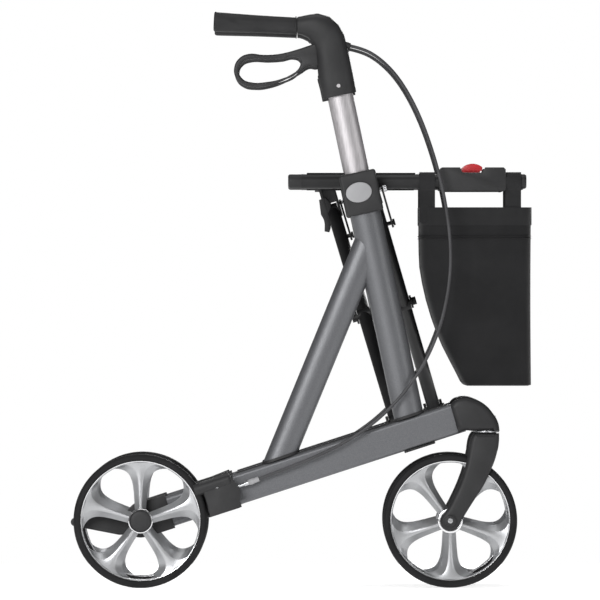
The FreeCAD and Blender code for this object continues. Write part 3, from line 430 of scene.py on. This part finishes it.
def route_curve(points, radius):
    """A cable of a radius along a route, or with radius 0 only its line."""
    curve = bpy.data.curves.new("route", "CURVE")
    curve.dimensions = "3D"
    spline = curve.splines.new("NURBS")
    spline.points.add(len(points) - 1)
    for knot, point in zip(spline.points, points):
        knot.co = (*point, 1)
    spline.order_u = 3
    spline.use_endpoint_u = True
    spline.resolution_u = 8
    curve.bevel_depth = radius
    curve.bevel_resolution = 3
    curve.use_fill_caps = radius > 0
    scratch = bpy.data.objects.new("scratch", curve)
    bpy.context.scene.collection.objects.link(scratch)
    bpy.context.view_layer.update()
    mesh = bpy.data.meshes.new_from_object(scratch.evaluated_get(bpy.context.evaluated_depsgraph_get()))
    bpy.data.objects.remove(scratch)
    return mesh


for name, side in SIDES:
    route = [Vector((x, -side * y, z)) * MM for x, y, z in CABLE_ROUTE]
    line = [vertex.co.copy() for vertex in route_curve(route, 0).vertices]
    tube = joined_up(route_curve(route, CABLE_DIAMETER / 2))
    cable = shown("cable_jacket_" + name, tube, cable_jacket, None, "brake_cable_" + name)
    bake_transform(cable)


# The wheels

SPOKES = 5
BORE = 6.1
# Turned profiles are points of radius and distance out from the wheel's middle.
RIM_PROFILE = (
    (87.2, -11.4), (87.9, -12), (89.9, -12), (89.9, 12), (87.9, 12), (87.2, 11.4), (86.9, 5), (86.9, -5),
    (87.2, -11.4),
)
LIP_PROFILE = ((88.2, 11.6), (88.5, 12.6), (89.3, 12.7), (89.9, 12.0), (89.9, 11.0))
TREAD_PROFILE = (
    (89.95, -12.4), (91.2, -13.3), (93.5, -13.9), (96.0, -13.6), (97.9, -12.3), (99.0, -10.6), (99.5, -8.4),
    (99.0, -8.0), (99.0, -7.4), (99.7, -6.9), (99.9, -4.2), (99.3, -3.8), (99.3, -3.2), (100.0, -2.7),
)
HUB_RING_PROFILE = ((15.9, 13.0), (16.2, 17.6), (17.0, 18.4), (18.0, 18.0), (18.4, 17.0), (18.4, 13.0))
HUB_CAP_PROFILE = ((0.0, 18.2), (9.0, 18.1), (13.6, 17.7), (15.4, 16.9), (15.9, 15.8), (15.9, 13.0))
FRONT_RING_PROFILE = ((13.0, 16.5), (15.4, 17.1), (18.0, 17.1), (18.7, 16.4), (18.7, 15.4))
# Radius, half width, half width of the bright ridge, depth of the ridge and depth of the edge
SPOKE_STATIONS = (
    (16.0, 8.6, 2.2, 12.0, 2.0), (30.0, 9.2, 2.4, 11.6, 1.6), (43.0, 10.0, 2.8, 11.2, 1.4),
    (54.0, 11.2, 3.3, 10.9, 1.3), (62.0, 13.0, 4.1, 10.8, 1.3), (68.0, 15.3, 5.2, 10.8, 1.4),
    (72.0, 17.5, 6.3, 10.9, 1.5), (76.0, 21.0, 8.2, 11.0, 1.7), (79.0, 24.5, 10.2, 11.1, 2.0),
    (82.0, 29.2, 13.4, 11.3, 2.5), (84.5, 34.0, 17.4, 11.5, 3.2), (86.5, 39.0, 22.0, 11.7, 4.0),
    (88.0, 45.0, 28.0, 11.9, 5.0),
)


def to_side(profile, side):
    """A profile turned to the right or the left."""
    return [(radius, side * y) for radius, y in profile]


def spoke(turn):
    """A flared spoke, as a skin over rings that bend round the axle."""
    rings = []
    for radius, edge, ridge, front, back in SPOKE_STATIONS:
        half_way = ridge + (edge - ridge) * 0.5
        slope = back + (front - back) * 0.46
        across = ((-edge, back), (-half_way, slope), (-ridge, front - 0.8), (-ridge * 0.5, front - 0.1),
                  (0, front), (ridge * 0.5, front - 0.1), (ridge, front - 0.8), (half_way, slope),
                  (edge, back))
        ring = [(t, -depth) for t, depth in across] + [(t, depth) for t, depth in reversed(across)]
        places = []
        for t, y in ring:
            angle = turn + t / radius
            places.append(Vector((radius * math.cos(angle), y, radius * math.sin(angle))) * MM)
        rings.append(places)
    return skinned(rings)


def wheel(name, body, node_prefix, centre, first_spoke, hub_radius, hub_half):
    """The moulded rim with its flared spokes, a polished lip on each side and the tyre."""
    spokes = [spoke(math.radians(first_spoke + number * 360 / SPOKES)) for number in range(SPOKES)]
    hub = lathed([(BORE, -hub_half), (hub_radius - 1.5, -hub_half), (hub_radius, -hub_half + 1.5),
                  (hub_radius, hub_half - 1.5), (hub_radius - 1.5, hub_half), (BORE, hub_half),
                  (BORE, -hub_half)], Vector())
    barrel = lathed(RIM_PROFILE, Vector(), 128)
    whole = together(*spokes, hub, barrel)
    whole.transform(Matrix.Translation(centre))
    shown(node_prefix + "_casting_" + name, whole, wheel_paint, body, node_prefix + "_rim_" + name,
          22)
    lips = [lathed(to_side(LIP_PROFILE, way), centre, 128) for way in (-1, 1)]
    shown(node_prefix + "_lip_" + name, together(*lips), polished_ring, body, None, 50)
    profile = [*TREAD_PROFILE, *to_side(reversed(TREAD_PROFILE), -1), TREAD_PROFILE[0]]
    shown(node_prefix + "_rubber_" + name, lathed(profile, centre, 160), tyre_rubber, body,
          node_prefix + "_tyre_" + name, 50)


for name, side in SIDES:
    rear = joint_place("rear_wheel_%s_spin" % name)
    rear.y = middle("rear_tyre_" + name).y
    wheel(name, "rear_wheel_" + name, "rear", rear, 90, 18.4, 13.9)
    ring = lathed(to_side(HUB_RING_PROFILE, side), rear)
    shown("hub_ring_" + name, ring, polished_ring, "rear_wheel_" + name, None, 50)
    cap = lathed(to_side(HUB_CAP_PROFILE, side), rear)
    shown("hub_cap_" + name, cap, black_plastic, "rear_wheel_" + name, None, 50)
    front = joint_place("front_wheel_%s_spin" % name)
    wheel(name, "front_wheel_" + name, "front", front, -90, 18.6, 16.9)
    ring = lathed(to_side(FRONT_RING_PROFILE, side), front)
    shown("front_hub_ring_" + name, ring, polished_ring, "front_wheel_" + name, None, 50)


# The casters

FORK_OUTLINE = (
    (35.3, 130.6, 1), (31.2, 124.5), (26.6, 103.0), (21.6, 80.0), (14.0, 57.5), (4.0, 35.0), (-6.6, 15.5),
    (-13.6, 7.0), (-15.3, -1.5), (-11.6, -10.0), (-1.5, -15.3), (9.0, -12.4), (17.1, 0.4), (26.0, 15.0),
    (38.1, 34.1), (49.5, 51.6), (61.1, 76.1), (68.7, 96.5), (72.6, 117.0), (72.9, 130.6, 1),
)
FORK_HALF = 23.0
FORK_ROOM = 17.5  # half the width of the room for the wheel between the fork's legs
FORK_ROOM_REACH = 140.0
FORK_ROOM_BELOW = 60.0
FORK_ROOM_ABOVE = 107.5
CUP_PROFILE = (
    (0.0, 26.2), (1.6, 26.2), (2.0, 25.4), (3.4, 25.4), (3.9, 27.2), (7.2, 27.4), (8.4, 26.6), (8.8, 22.6),
)
ELBOW_OUTLINE = (
    (-53.6, 38.6, 1), (-47.0, 46.4), (-38.0, 50.0), (-28.9, 50.9), (-15.6, 47.4), (-2.2, 39.8), (9.3, 27.5),
    (17.6, 13.2), (19.9, 0.2, 1), (-20.0, 0.2, 1), (-31.0, 0.9), (-41.6, -3.6, 1),
)
ELBOW_HALF = 19.6

for name, side in SIDES:
    axle = joint_place("front_wheel_%s_spin" % name)
    swivel = joint_place("caster_%s_swivel" % name)
    body = "caster_" + name
    outline = plate(FORK_OUTLINE, FORK_HALF, 7.5, axle)
    room = block(axle - Vector((FORK_ROOM_REACH, FORK_ROOM, FORK_ROOM_BELOW)) * MM,
                 axle + Vector((FORK_ROOM_REACH, FORK_ROOM, FORK_ROOM_ABOVE)) * MM, 0.004)
    shown("fork_casting_" + name, cut_away(outline, room), black_plastic, body, "caster_fork_" + name,
          40)
    cup = lathed(to_side(CUP_PROFILE, side), axle)
    shown("axle_bolt_cup_" + name, cup, black_plastic, body, None, 40)
    elbow = plate(ELBOW_OUTLINE, ELBOW_HALF, 8.5, swivel)
    shown("elbow_" + name, elbow, black_plastic, "frame_" + name, "caster_housing_" + name,
          40)


# The handles

GRIP_STATIONS = (
    (0.0, 13.2, 13.2), (2.0, 13.4, 13.4), (30.0, 13.5, 13.4), (60.0, 13.9, 13.7), (85.0, 14.5, 14.2),
    (105.0, 15.1, 14.8), (118.0, 15.4, 15.2), (122.5, 15.4, 15.2), (124.6, 14.2, 14.0), (125.2, 11.0, 11.0),
)
GRIP_FRONT = Vector((-43.0, 0, 38.9)) * MM
GRIP_RISE = math.radians(2.8)
HOUSING_STATIONS = (
    ((-43.2, 52.0), (-43.2, 25.6), 13.1), ((-37.0, 53.0), (-39.5, 25.4), 13.4),
    ((-26.0, 55.4), (-35.0, 24.0), 14.2), ((-12.7, 57.3), (-27.5, 20.4), 15.2),
    ((5.0, 52.3), (-22.2, 14.6), 15.9), ((18.5, 40.0), (-18.4, 8.2), 16.0),
    ((26.6, 25.4), (-16.2, 1.0), 16.0), ((31.0, 9.0), (-15.4, -8.0), 16.0),
    ((35.4, -12.0), (-14.2, -22.0), 16.0), ((39.6, -33.0), (-12.6, -39.0), 16.0),
    ((42.6, -48.0), (-8.6, -54.0), 16.0), ((44.6, -59.0), (-5.4, -69.6), 15.8),
    ((44.8, -60.2), (-5.1, -70.9), 15.4),
)
LEVER_OUTER = (
    (-8.0, 14.5), (-25.0, 9.3), (-44.0, 3.0), (-71.0, -3.5), (-93.0, -4.8), (-116.0, -3.4), (-130.0, -10.0),
    (-137.4, -24.0), (-135.0, -39.0), (-124.0, -49.6), (-107.0, -53.0), (-85.0, -50.6), (-60.0, -41.5),
    (-38.0, -29.0), (-25.0, -21.4), (-14.0, -22.0), (0.0, -12.0),
)
LEVER_INNER = (
    (-115.0, -11.8), (-85.0, -11.6), (-65.5, -10.2), (-49.0, -7.2), (-40.0, -11.0), (-38.4, -18.0),
    (-46.0, -30.3), (-65.5, -40.0), (-87.7, -45.1), (-112.7, -45.6), (-125.2, -40.0), (-130.6, -27.6),
    (-125.2, -16.5),
)
LEVER_HALF = 7.0
REST_EDGE = 84.0  # how far from the grip's front the palm rest's slanting edge crosses the height below
REST_EDGE_HEIGHT = -4.0
REST_SLANT = 2.0
REST_HEIGHT = 1.3
SEAM_PROFILE = ((0, 0), (13.6, 0), (13.9, 0.5), (13.9, 1.3), (13.6, 1.8), (0, 1.8))


def superellipse(centre, first, second, power=2.0, count=40):
    """A ring about a centre: first and second are its two half axes as vectors."""
    places = []
    for step in range(count):
        angle = math.tau * step / count
        across, along = math.cos(angle), math.sin(angle)
        one = math.copysign(abs(across) ** (2 / power), across)
        two = math.copysign(abs(along) ** (2 / power), along)
        places.append(centre + first * one + second * two)
    return places


def grip_shape(pivot):
    """A tapered grip with a raised palm rest, whose edge runs slantwise across its side."""
    along = Vector((-math.cos(GRIP_RISE), 0, math.sin(GRIP_RISE)))
    up = Vector((math.sin(GRIP_RISE), 0, math.cos(GRIP_RISE)))
    rings = []
    for distance, tall, wide in GRIP_STATIONS:
        centre = pivot + GRIP_FRONT + along * (distance * MM)
        rings.append(superellipse(centre, Vector((0, wide * MM, 0)), up * (tall * MM), 2.1, 48))
    mesh = skinned(rings)
    mesh = with_modifiers(mesh, ("SUBSURF", {"levels": 2, "render_levels": 2}))
    for vertex in mesh.vertices:
        local = vertex.co - pivot - GRIP_FRONT
        distance = local.dot(along) / MM
        height = local.dot(up) / MM
        edge = REST_EDGE + REST_SLANT * (height - REST_EDGE_HEIGHT)
        rest = 1 / (1 + math.exp(-(distance - edge) * 0.9)) if height > -6 else 0.0
        fade = min(1.0, max(0.0, (height + 6.0) / 6.0)) * min(1.0, max(0.0, (124.0 - distance) / 3.0))
        centre = pivot + GRIP_FRONT + along * (distance * MM)
        vertex.co -= (vertex.co - centre).normalized() * (REST_HEIGHT * MM * (1 - rest) * fade)
    return mesh


def housing_shape(pivot):
    """The bent shell from the grip down over the tube, with a slot for the lever."""
    rings = []
    for outer, inner, half in HOUSING_STATIONS:
        a = pivot + Vector((outer[0], 0, outer[1])) * MM
        b = pivot + Vector((inner[0], 0, inner[1])) * MM
        rings.append(superellipse((a + b) / 2, Vector((0, half * MM, 0)), (a - b) / 2, 2.5, 48))
    mesh = skinned(rings)
    slot_half = (LEVER_HALF + 0.5) * MM
    slot = block((pivot.x - 0.06, pivot.y - slot_half, pivot.z - 0.036),
                 (pivot.x + 0.004, pivot.y + slot_half, pivot.z + 0.0175), 0.001, 1)
    return cut_away(mesh, slot)


for name, side in SIDES:
    pivot = joint_place("brake_lever_%s_turn" % name)
    body = "handle_" + name
    shown("palm_grip_" + name, grip_shape(pivot), grip_rubber, body, "grip_" + name, 60)
    shown("handle_shell_" + name, housing_shape(pivot), black_plastic, body, "handle_housing_" + name,
          40)
    lever = plate(LEVER_OUTER, LEVER_HALF, 3.0, pivot, [LEVER_INNER])
    shown("lever_loop_" + name, lever, lever_plastic, "lever_" + name, "brake_lever_" + name,
          40)
    collar_end = pivot + GRIP_FRONT + Vector((-1.2, 0, 0)) * MM
    seam = lathed(SEAM_PROFILE, Vector(), 64)
    seam.transform(Matrix.Translation(collar_end) @ Matrix.Rotation(math.radians(90), 4, "Z"))
    shown("grip_collar_" + name, seam, black_plastic, body, None, 40)


def tapered(stations, place, direction, steps=40):
    """A piece turned about any direction from a place, from (radius, distance) points in millimetres."""
    mesh = lathed(stations, Vector(), steps)
    turn = Vector((0, 1, 0)).rotation_difference(direction).to_matrix().to_4x4()
    mesh.transform(Matrix.Translation(place) @ turn)
    return mesh


EXIT_PROFILE = ((0, -13), (5.2, -12), (4.6, -4), (4.3, -0.6), (3.9, 0), (2.6, 0), (0, 0))
STOP_PROFILE = (
    (0, -9.0), (3.4, -9.0), (3.7, -8.6), (3.7, -1.0), (4.4, -0.4), (4.4, 5.0), (3.4, 8.0), (0, 8),
)

for name, side in SIDES:
    first, second = [Vector((x, -side * y, z)) * MM for x, y, z in CABLE_ROUTE[:2]]
    boss = tapered(EXIT_PROFILE, first, (second - first).normalized())
    shown("cable_exit_" + name, boss, black_plastic, "handle_" + name, None, 40)
    before, last = [Vector((x, -side * y, z)) * MM for x, y, z in CABLE_ROUTE[-2:]]
    ferrule = tapered(STOP_PROFILE, last, (last - before).normalized())
    shown("cable_stop_" + name, ferrule, pale_button, "frame_" + name, None, 40)


# The height collars and their buttons

for name, side in SIDES:
    shown("collar_" + name, rounded_copy("height_collar_" + name, 0.0025, 4), black_plastic, "frame_" + name,
          "height_collar_" + name, 40)
    button = rounded_copy("height_button_" + name, 0.0018, 4)
    shown("button_oval_" + name, button, pale_button, "height_button_" + name, "height_button_" + name,
          30)


# The brake's spring barrel, which runs along the beam on the outside of the brake housing

BARREL_REAR = (-160.0, 145.0)
BARREL_FRONT = (-106.6, 162.2)
BARREL_RADIUS = 9.2
BARREL_SUNK = 6.2  # how far the barrel's line lies inside the housing's outer face

for name, side in SIDES:
    low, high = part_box("brake_housing_" + name)
    outside = high.y if side > 0 else low.y
    start, end = [Vector((x * MM, outside - side * BARREL_SUNK * MM, z * MM))
                  for x, z in (BARREL_REAR, BARREL_FRONT)]
    reach = (end - start).length / MM
    profile = [(0, 0), (BARREL_RADIUS - 1, 0), (BARREL_RADIUS, 1), (BARREL_RADIUS, reach - 2.2),
               (BARREL_RADIUS - 0.7, reach - 1.6), (BARREL_RADIUS - 0.7, reach - 0.8),
               (BARREL_RADIUS - 1.6, reach), (0, reach)]
    barrel = tapered(profile, start, (end - start).normalized(), 48)
    shown("spring_barrel_" + name, barrel, black_plastic, "frame_" + name, None, 40)


# Pieces whose CAD shape is right, with rounded edges and their finish

ROUNDED = (
    ("rear_axle_housing", "frame", 0.0035, black_plastic, "black_plastic", "axle_casting"),
    ("brake_housing", "frame", 0.0022, black_plastic, "black_plastic", "brake_cover"),
    ("brake_shoe", "shoe", 0.0008, black_plastic, "black_plastic", "shoe_pad"),
    ("brace_bracket", "frame", 0.0009, black_coat, "black_metal", "hinge_bracket"),
    ("seat_fittings", "seat", 0.0018, black_plastic, "black_plastic", "lock_and_caps"),
    ("lock_button", "lock_button", 0.0018, red_button, "red_plastic", "lock_dome"),
    ("stay", "stay", 0.0006, black_coat, "black_metal", "stay_bar"),
)
for node, body, width, material, slot, label in ROUNDED:
    for name, side in SIDES:
        mesh = rounded_copy("%s_%s" % (node, name), width)
        shown("%s_%s" % (label, name), mesh, material, "%s_%s" % (body, name), "%s_%s" % (node, name),
              35)

KEPT = (
    ("beam", grey_paint), ("upright", grey_paint), ("strut", grey_paint), ("frame_seals", black_plastic),
    ("handle_tube", silver_tube), ("frame_hardware", bright_steel), ("seat_tube", black_coat),
    ("front_axle", bright_steel),
)
for node, material in KEPT:
    for name, side in SIDES:
        mesh = nodes["%s_%s" % (node, name)].data
        mesh.materials.clear()
        mesh.materials.append(material)
for node in ("brace_leg_front", "brace_leg_rear", "brace_pivot"):
    mesh = nodes[node].data
    mesh.materials.clear()
    mesh.materials.append(black_coat)


# The catch on the rear leg, a moulded lump on the leg's rear edge just under the seat tube

CATCH_OUTLINE = (
    (26.6, 580.6, 1), (36.6, 584.6, 1), (45.0, 575.0, 1), (44.6, 562.0), (43.8, 552.0), (44.4, 538.5, 1),
    (42.2, 531.6, 1), (35.0, 533.0, 1), (34.2, 549.0), (29.4, 558.6, 1),
)
CATCH_MIDDLE = 0.2285
CATCH_HALF = 9.0

catch = plate(CATCH_OUTLINE, CATCH_HALF, 1.4, Vector((0, CATCH_MIDDLE, 0)))
shown("leg_catch", catch, black_plastic, "rear_leg", None, 40)


# The seat sling

SLING_SAG = 0.022
SLING_THICK = 0.0022
SLING_STAND_OFF = 0.0018  # between a seat tube's surface and the middle of the cloth
SLING_WRAP = range(240, 95, -12)  # degrees round a tube, from the cloth's end to where it leaves inwards
SPAN_STEPS = 40
LENGTH_STEPS = 16


def sling_mesh():
    """The cloth round both seat tubes and slack between them, its line across, and its box."""
    low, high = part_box("seat_sling")
    tube_low, tube_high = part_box("seat_tube_right")
    radius = (tube_high.z - tube_low.z) / 2
    height = (tube_high.z + tube_low.z) / 2
    half = abs(middle("seat_tube_right").y)
    wrap = radius + SLING_STAND_OFF
    left = [(half + wrap * math.cos(math.radians(turn)), height + wrap * math.sin(math.radians(turn)))
            for turn in SLING_WRAP]
    inner = left[-1]
    span = []
    for step in range(1, SPAN_STEPS):
        share = step / SPAN_STEPS
        sag = SLING_SAG * (1 - (1 - 2 * share) ** 2)
        span.append((inner[0] * (1 - 2 * share), inner[1] - sag))
    right = [(-y, z) for y, z in reversed(left)]
    line = left + span + right
    bm = bmesh.new()
    corners = [bm.verts.new((low.x, y, z)) for y, z in line]
    edges = [bm.edges.new(pair) for pair in zip(corners, corners[1:])]
    for step in range(LENGTH_STEPS):
        made = bmesh.ops.extrude_edge_only(bm, edges=edges)["geom"]
        corners = [item for item in made if isinstance(item, bmesh.types.BMVert)]
        edges = [item for item in made if isinstance(item, bmesh.types.BMEdge)]
        bmesh.ops.translate(bm, verts=corners, vec=((high.x - low.x) / LENGTH_STEPS, 0, 0))
    for vertex in bm.verts:
        share = (vertex.co.x - low.x) / (high.x - low.x)
        slack = max(0.0, 1 - abs(vertex.co.y) / half)
        vertex.co.z += 0.004 * slack * (2 * share - 1) ** 2 - 0.0015 * slack * math.sin(share * 9)
    return mesh_of(bm), line, low, high


sling, sling_line, sling_low, sling_high = sling_mesh()
sling = with_modifiers(sling, ("SOLIDIFY", {"thickness": SLING_THICK * 0.6, "offset": 0.0}),
                       ("BEVEL", {"width": 0.0004, "segments": 2, "limit_method": "ANGLE"}))
seat = shown("seat_cloth", sling, seat_cloth, "seat_right", "seat_sling", 50)


# The shopping bag

BAG_REAR = (
    (567.5, 176.0), (545.0, 176.2), (525.0, 176.2), (500.0, 176.6), (479.0, 177.6), (455.0, 181.6),
    (429.5, 187.4), (405.0, 194.6), (381.5, 202.9), (360.0, 212.0), (339.5, 222.4), (320.0, 232.6),
    (307.0, 239.0), (302.6, 243.0),
)


BAG_SHAPE_POWER = 14  # the higher, the squarer the bag's corners
BAG_WALL = 0.0022
bag_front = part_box("shopping_bag")[1].x / MM


def bag_ring(height, rear, front, half):
    """A rounded oblong round the bag at a height, all in millimetres."""
    centre = Vector(((rear + front) / 2 * MM, 0, height * MM))
    return superellipse(centre, Vector(((front - rear) / 2 * MM, 0, 0)), Vector((0, half * MM, 0)),
                        BAG_SHAPE_POWER, 96)


rings = []
for height, rear in BAG_REAR:
    fullness = math.sin(math.pi * (567.5 - height) / 265)
    rings.append(bag_ring(height, rear, bag_front - 0.6 - 0.8 * fullness, 229.0 + 1.2 * fullness))
rings.append(bag_ring(301.2, 247.5, bag_front - 5.0, 224.5))
bag = with_modifiers(skinned(rings, (-1,)), ("SOLIDIFY", {"thickness": BAG_WALL, "offset": -1.0}))
bag_piece = shown("bag_shell", bag, bag_cloth, "seat_right", "shopping_bag", 60)

hem_rings = [bag_ring(height, 176.0 - grow, bag_front - 0.6 + grow, 229.4 + grow)
             for height, grow in ((567.9, 0.9), (567.9, -3.2), (542.0, -3.2), (541.0, 0.2), (542.0, 0.9))]
hem = skinned(hem_rings + hem_rings[:1], ())
hem_piece = shown("bag_hem", joined_up(hem), binding, "seat_right", None, 50)
for label, height in (("upper", 525.0), ("lower", 521.5)):
    cord_rings = []
    for step in range(9):
        turn = math.tau * step / 8
        grow = 0.55 + 0.5 * math.cos(turn)
        cord_rings.append(bag_ring(height + 0.55 * math.sin(turn), 176.2 - grow, bag_front - 1.0 + grow,
                                   230.2 + grow))
    seam = shown("bag_seam_" + label, joined_up(skinned(cord_rings, ())), thread, "seat_right", None,
                 60)
    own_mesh(seam)

STRAP_PLACES = (0.176, 0.3045)
STRAP_WIDTH = 0.0235
STRAP_STAND_OFF = 0.0022
STRAP_END = 0.545  # height of the straps' sewn ends inside the bag
STRAP_JOIN = 0.008  # how far under the tube a strap's two layers come together
tube_low, tube_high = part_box("seat_tube_right")
strap_half_y = abs(middle("seat_tube_right").y)
tube_height = (tube_low.z + tube_high.z) / 2
reach = (tube_high.z - tube_low.z) / 2 + STRAP_STAND_OFF
straps = []
for place in STRAP_PLACES:
    for way in (-1, 1):
        join = tube_height - reach - STRAP_JOIN
        line = [(0.0042, STRAP_END), (0.0032, join)]
        line += [(reach * math.sin(math.radians(turn)), tube_height - reach * math.cos(math.radians(turn)))
                 for turn in range(15, 346, 15)]
        line += [(0.0012, join), (0.0026, STRAP_END)]
        bm = bmesh.new()
        corners = [bm.verts.new((place, way * (strap_half_y - inwards), z)) for inwards, z in line]
        edges = [bm.edges.new(pair) for pair in zip(corners, corners[1:])]
        made = bmesh.ops.extrude_edge_only(bm, edges=edges)["geom"]
        moved = [item for item in made if isinstance(item, bmesh.types.BMVert)]
        bmesh.ops.translate(bm, verts=moved, vec=(STRAP_WIDTH, 0, 0))
        straps.append(with_modifiers(mesh_of(bm), ("SOLIDIFY", {"thickness": 0.0014, "offset": 0.0})))
strap_piece = shown("bag_straps", together(*straps), binding, "seat_right", None, 50)

for piece, keep in ((seat, 0.2), (bag_piece, 0.22), (hem_piece, 0.22), (strap_piece, 0.22)):
    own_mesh(piece)


# The floor, the light and the white behind

FLOOR_SIZE = 6.0
FLOOR_GLOW = 0.55  # so that the floor is as white as what is behind it
WORLD_LIGHT = 0.14  # the walker's share of the white that is seen behind it
material, tree, shader = finish_of("pale_floor", 0.9, Specular_IOR_Level=0.1)
shader.inputs["Base Color"].default_value = linear("#ffffff")
shader.inputs["Emission Color"].default_value = (1, 1, 1, 1)
shader.inputs["Emission Strength"].default_value = FLOOR_GLOW
bm = bmesh.new()
bmesh.ops.create_grid(bm, x_segments=1, y_segments=1, size=FLOOR_SIZE / 2)
floor = bpy.data.objects.new("floor", mesh_of(bm))
floor.data.materials.append(material)
bpy.context.scene.collection.objects.link(floor)

world = bpy.data.worlds.new("studio")
bpy.context.scene.world = world
world.use_nodes = True
tree = world.node_tree
ground = tree.nodes["Background"]
ground.inputs["Color"].default_value = (1, 1, 1, 1)
ground.inputs["Strength"].default_value = WORLD_LIGHT
seen = add(tree, "Background", Color=(1, 1, 1, 1), Strength=1.0)
is_seen = add(tree, "LightPath").outputs["Is Camera Ray"]
mixed = add(tree, "MixShader", Fac=is_seen, _1=ground.outputs[0], _2=seen.outputs[0])
tree.links.new(mixed.outputs[0], tree.nodes["World Output"].inputs["Surface"])

LIGHTS = (
    ("key", (-1.6, -4.2, 1.7), 2.0, 120),
    ("fill", (2.8, -3.6, 1.0), 1.6, 22),
    ("top", (0.0, -0.2, 3.6), 2.0, 30),
    ("behind", (0.8, 4.2, 1.9), 2.2, 110),
)
for name, place, size, power in LIGHTS:
    light = bpy.data.lights.new(name, "AREA")
    light.size = size
    light.energy = power
    lamp = bpy.data.objects.new(name, light)
    lamp.location = place
    aim = Vector((0, 0, 0.4)) - Vector(place)
    lamp.rotation_euler = aim.to_track_quat("-Z", "Y").to_euler()
    bpy.context.scene.collection.objects.link(lamp)

scene = bpy.context.scene
scene.view_settings.view_transform = "Standard"
scene.view_settings.look = "None"
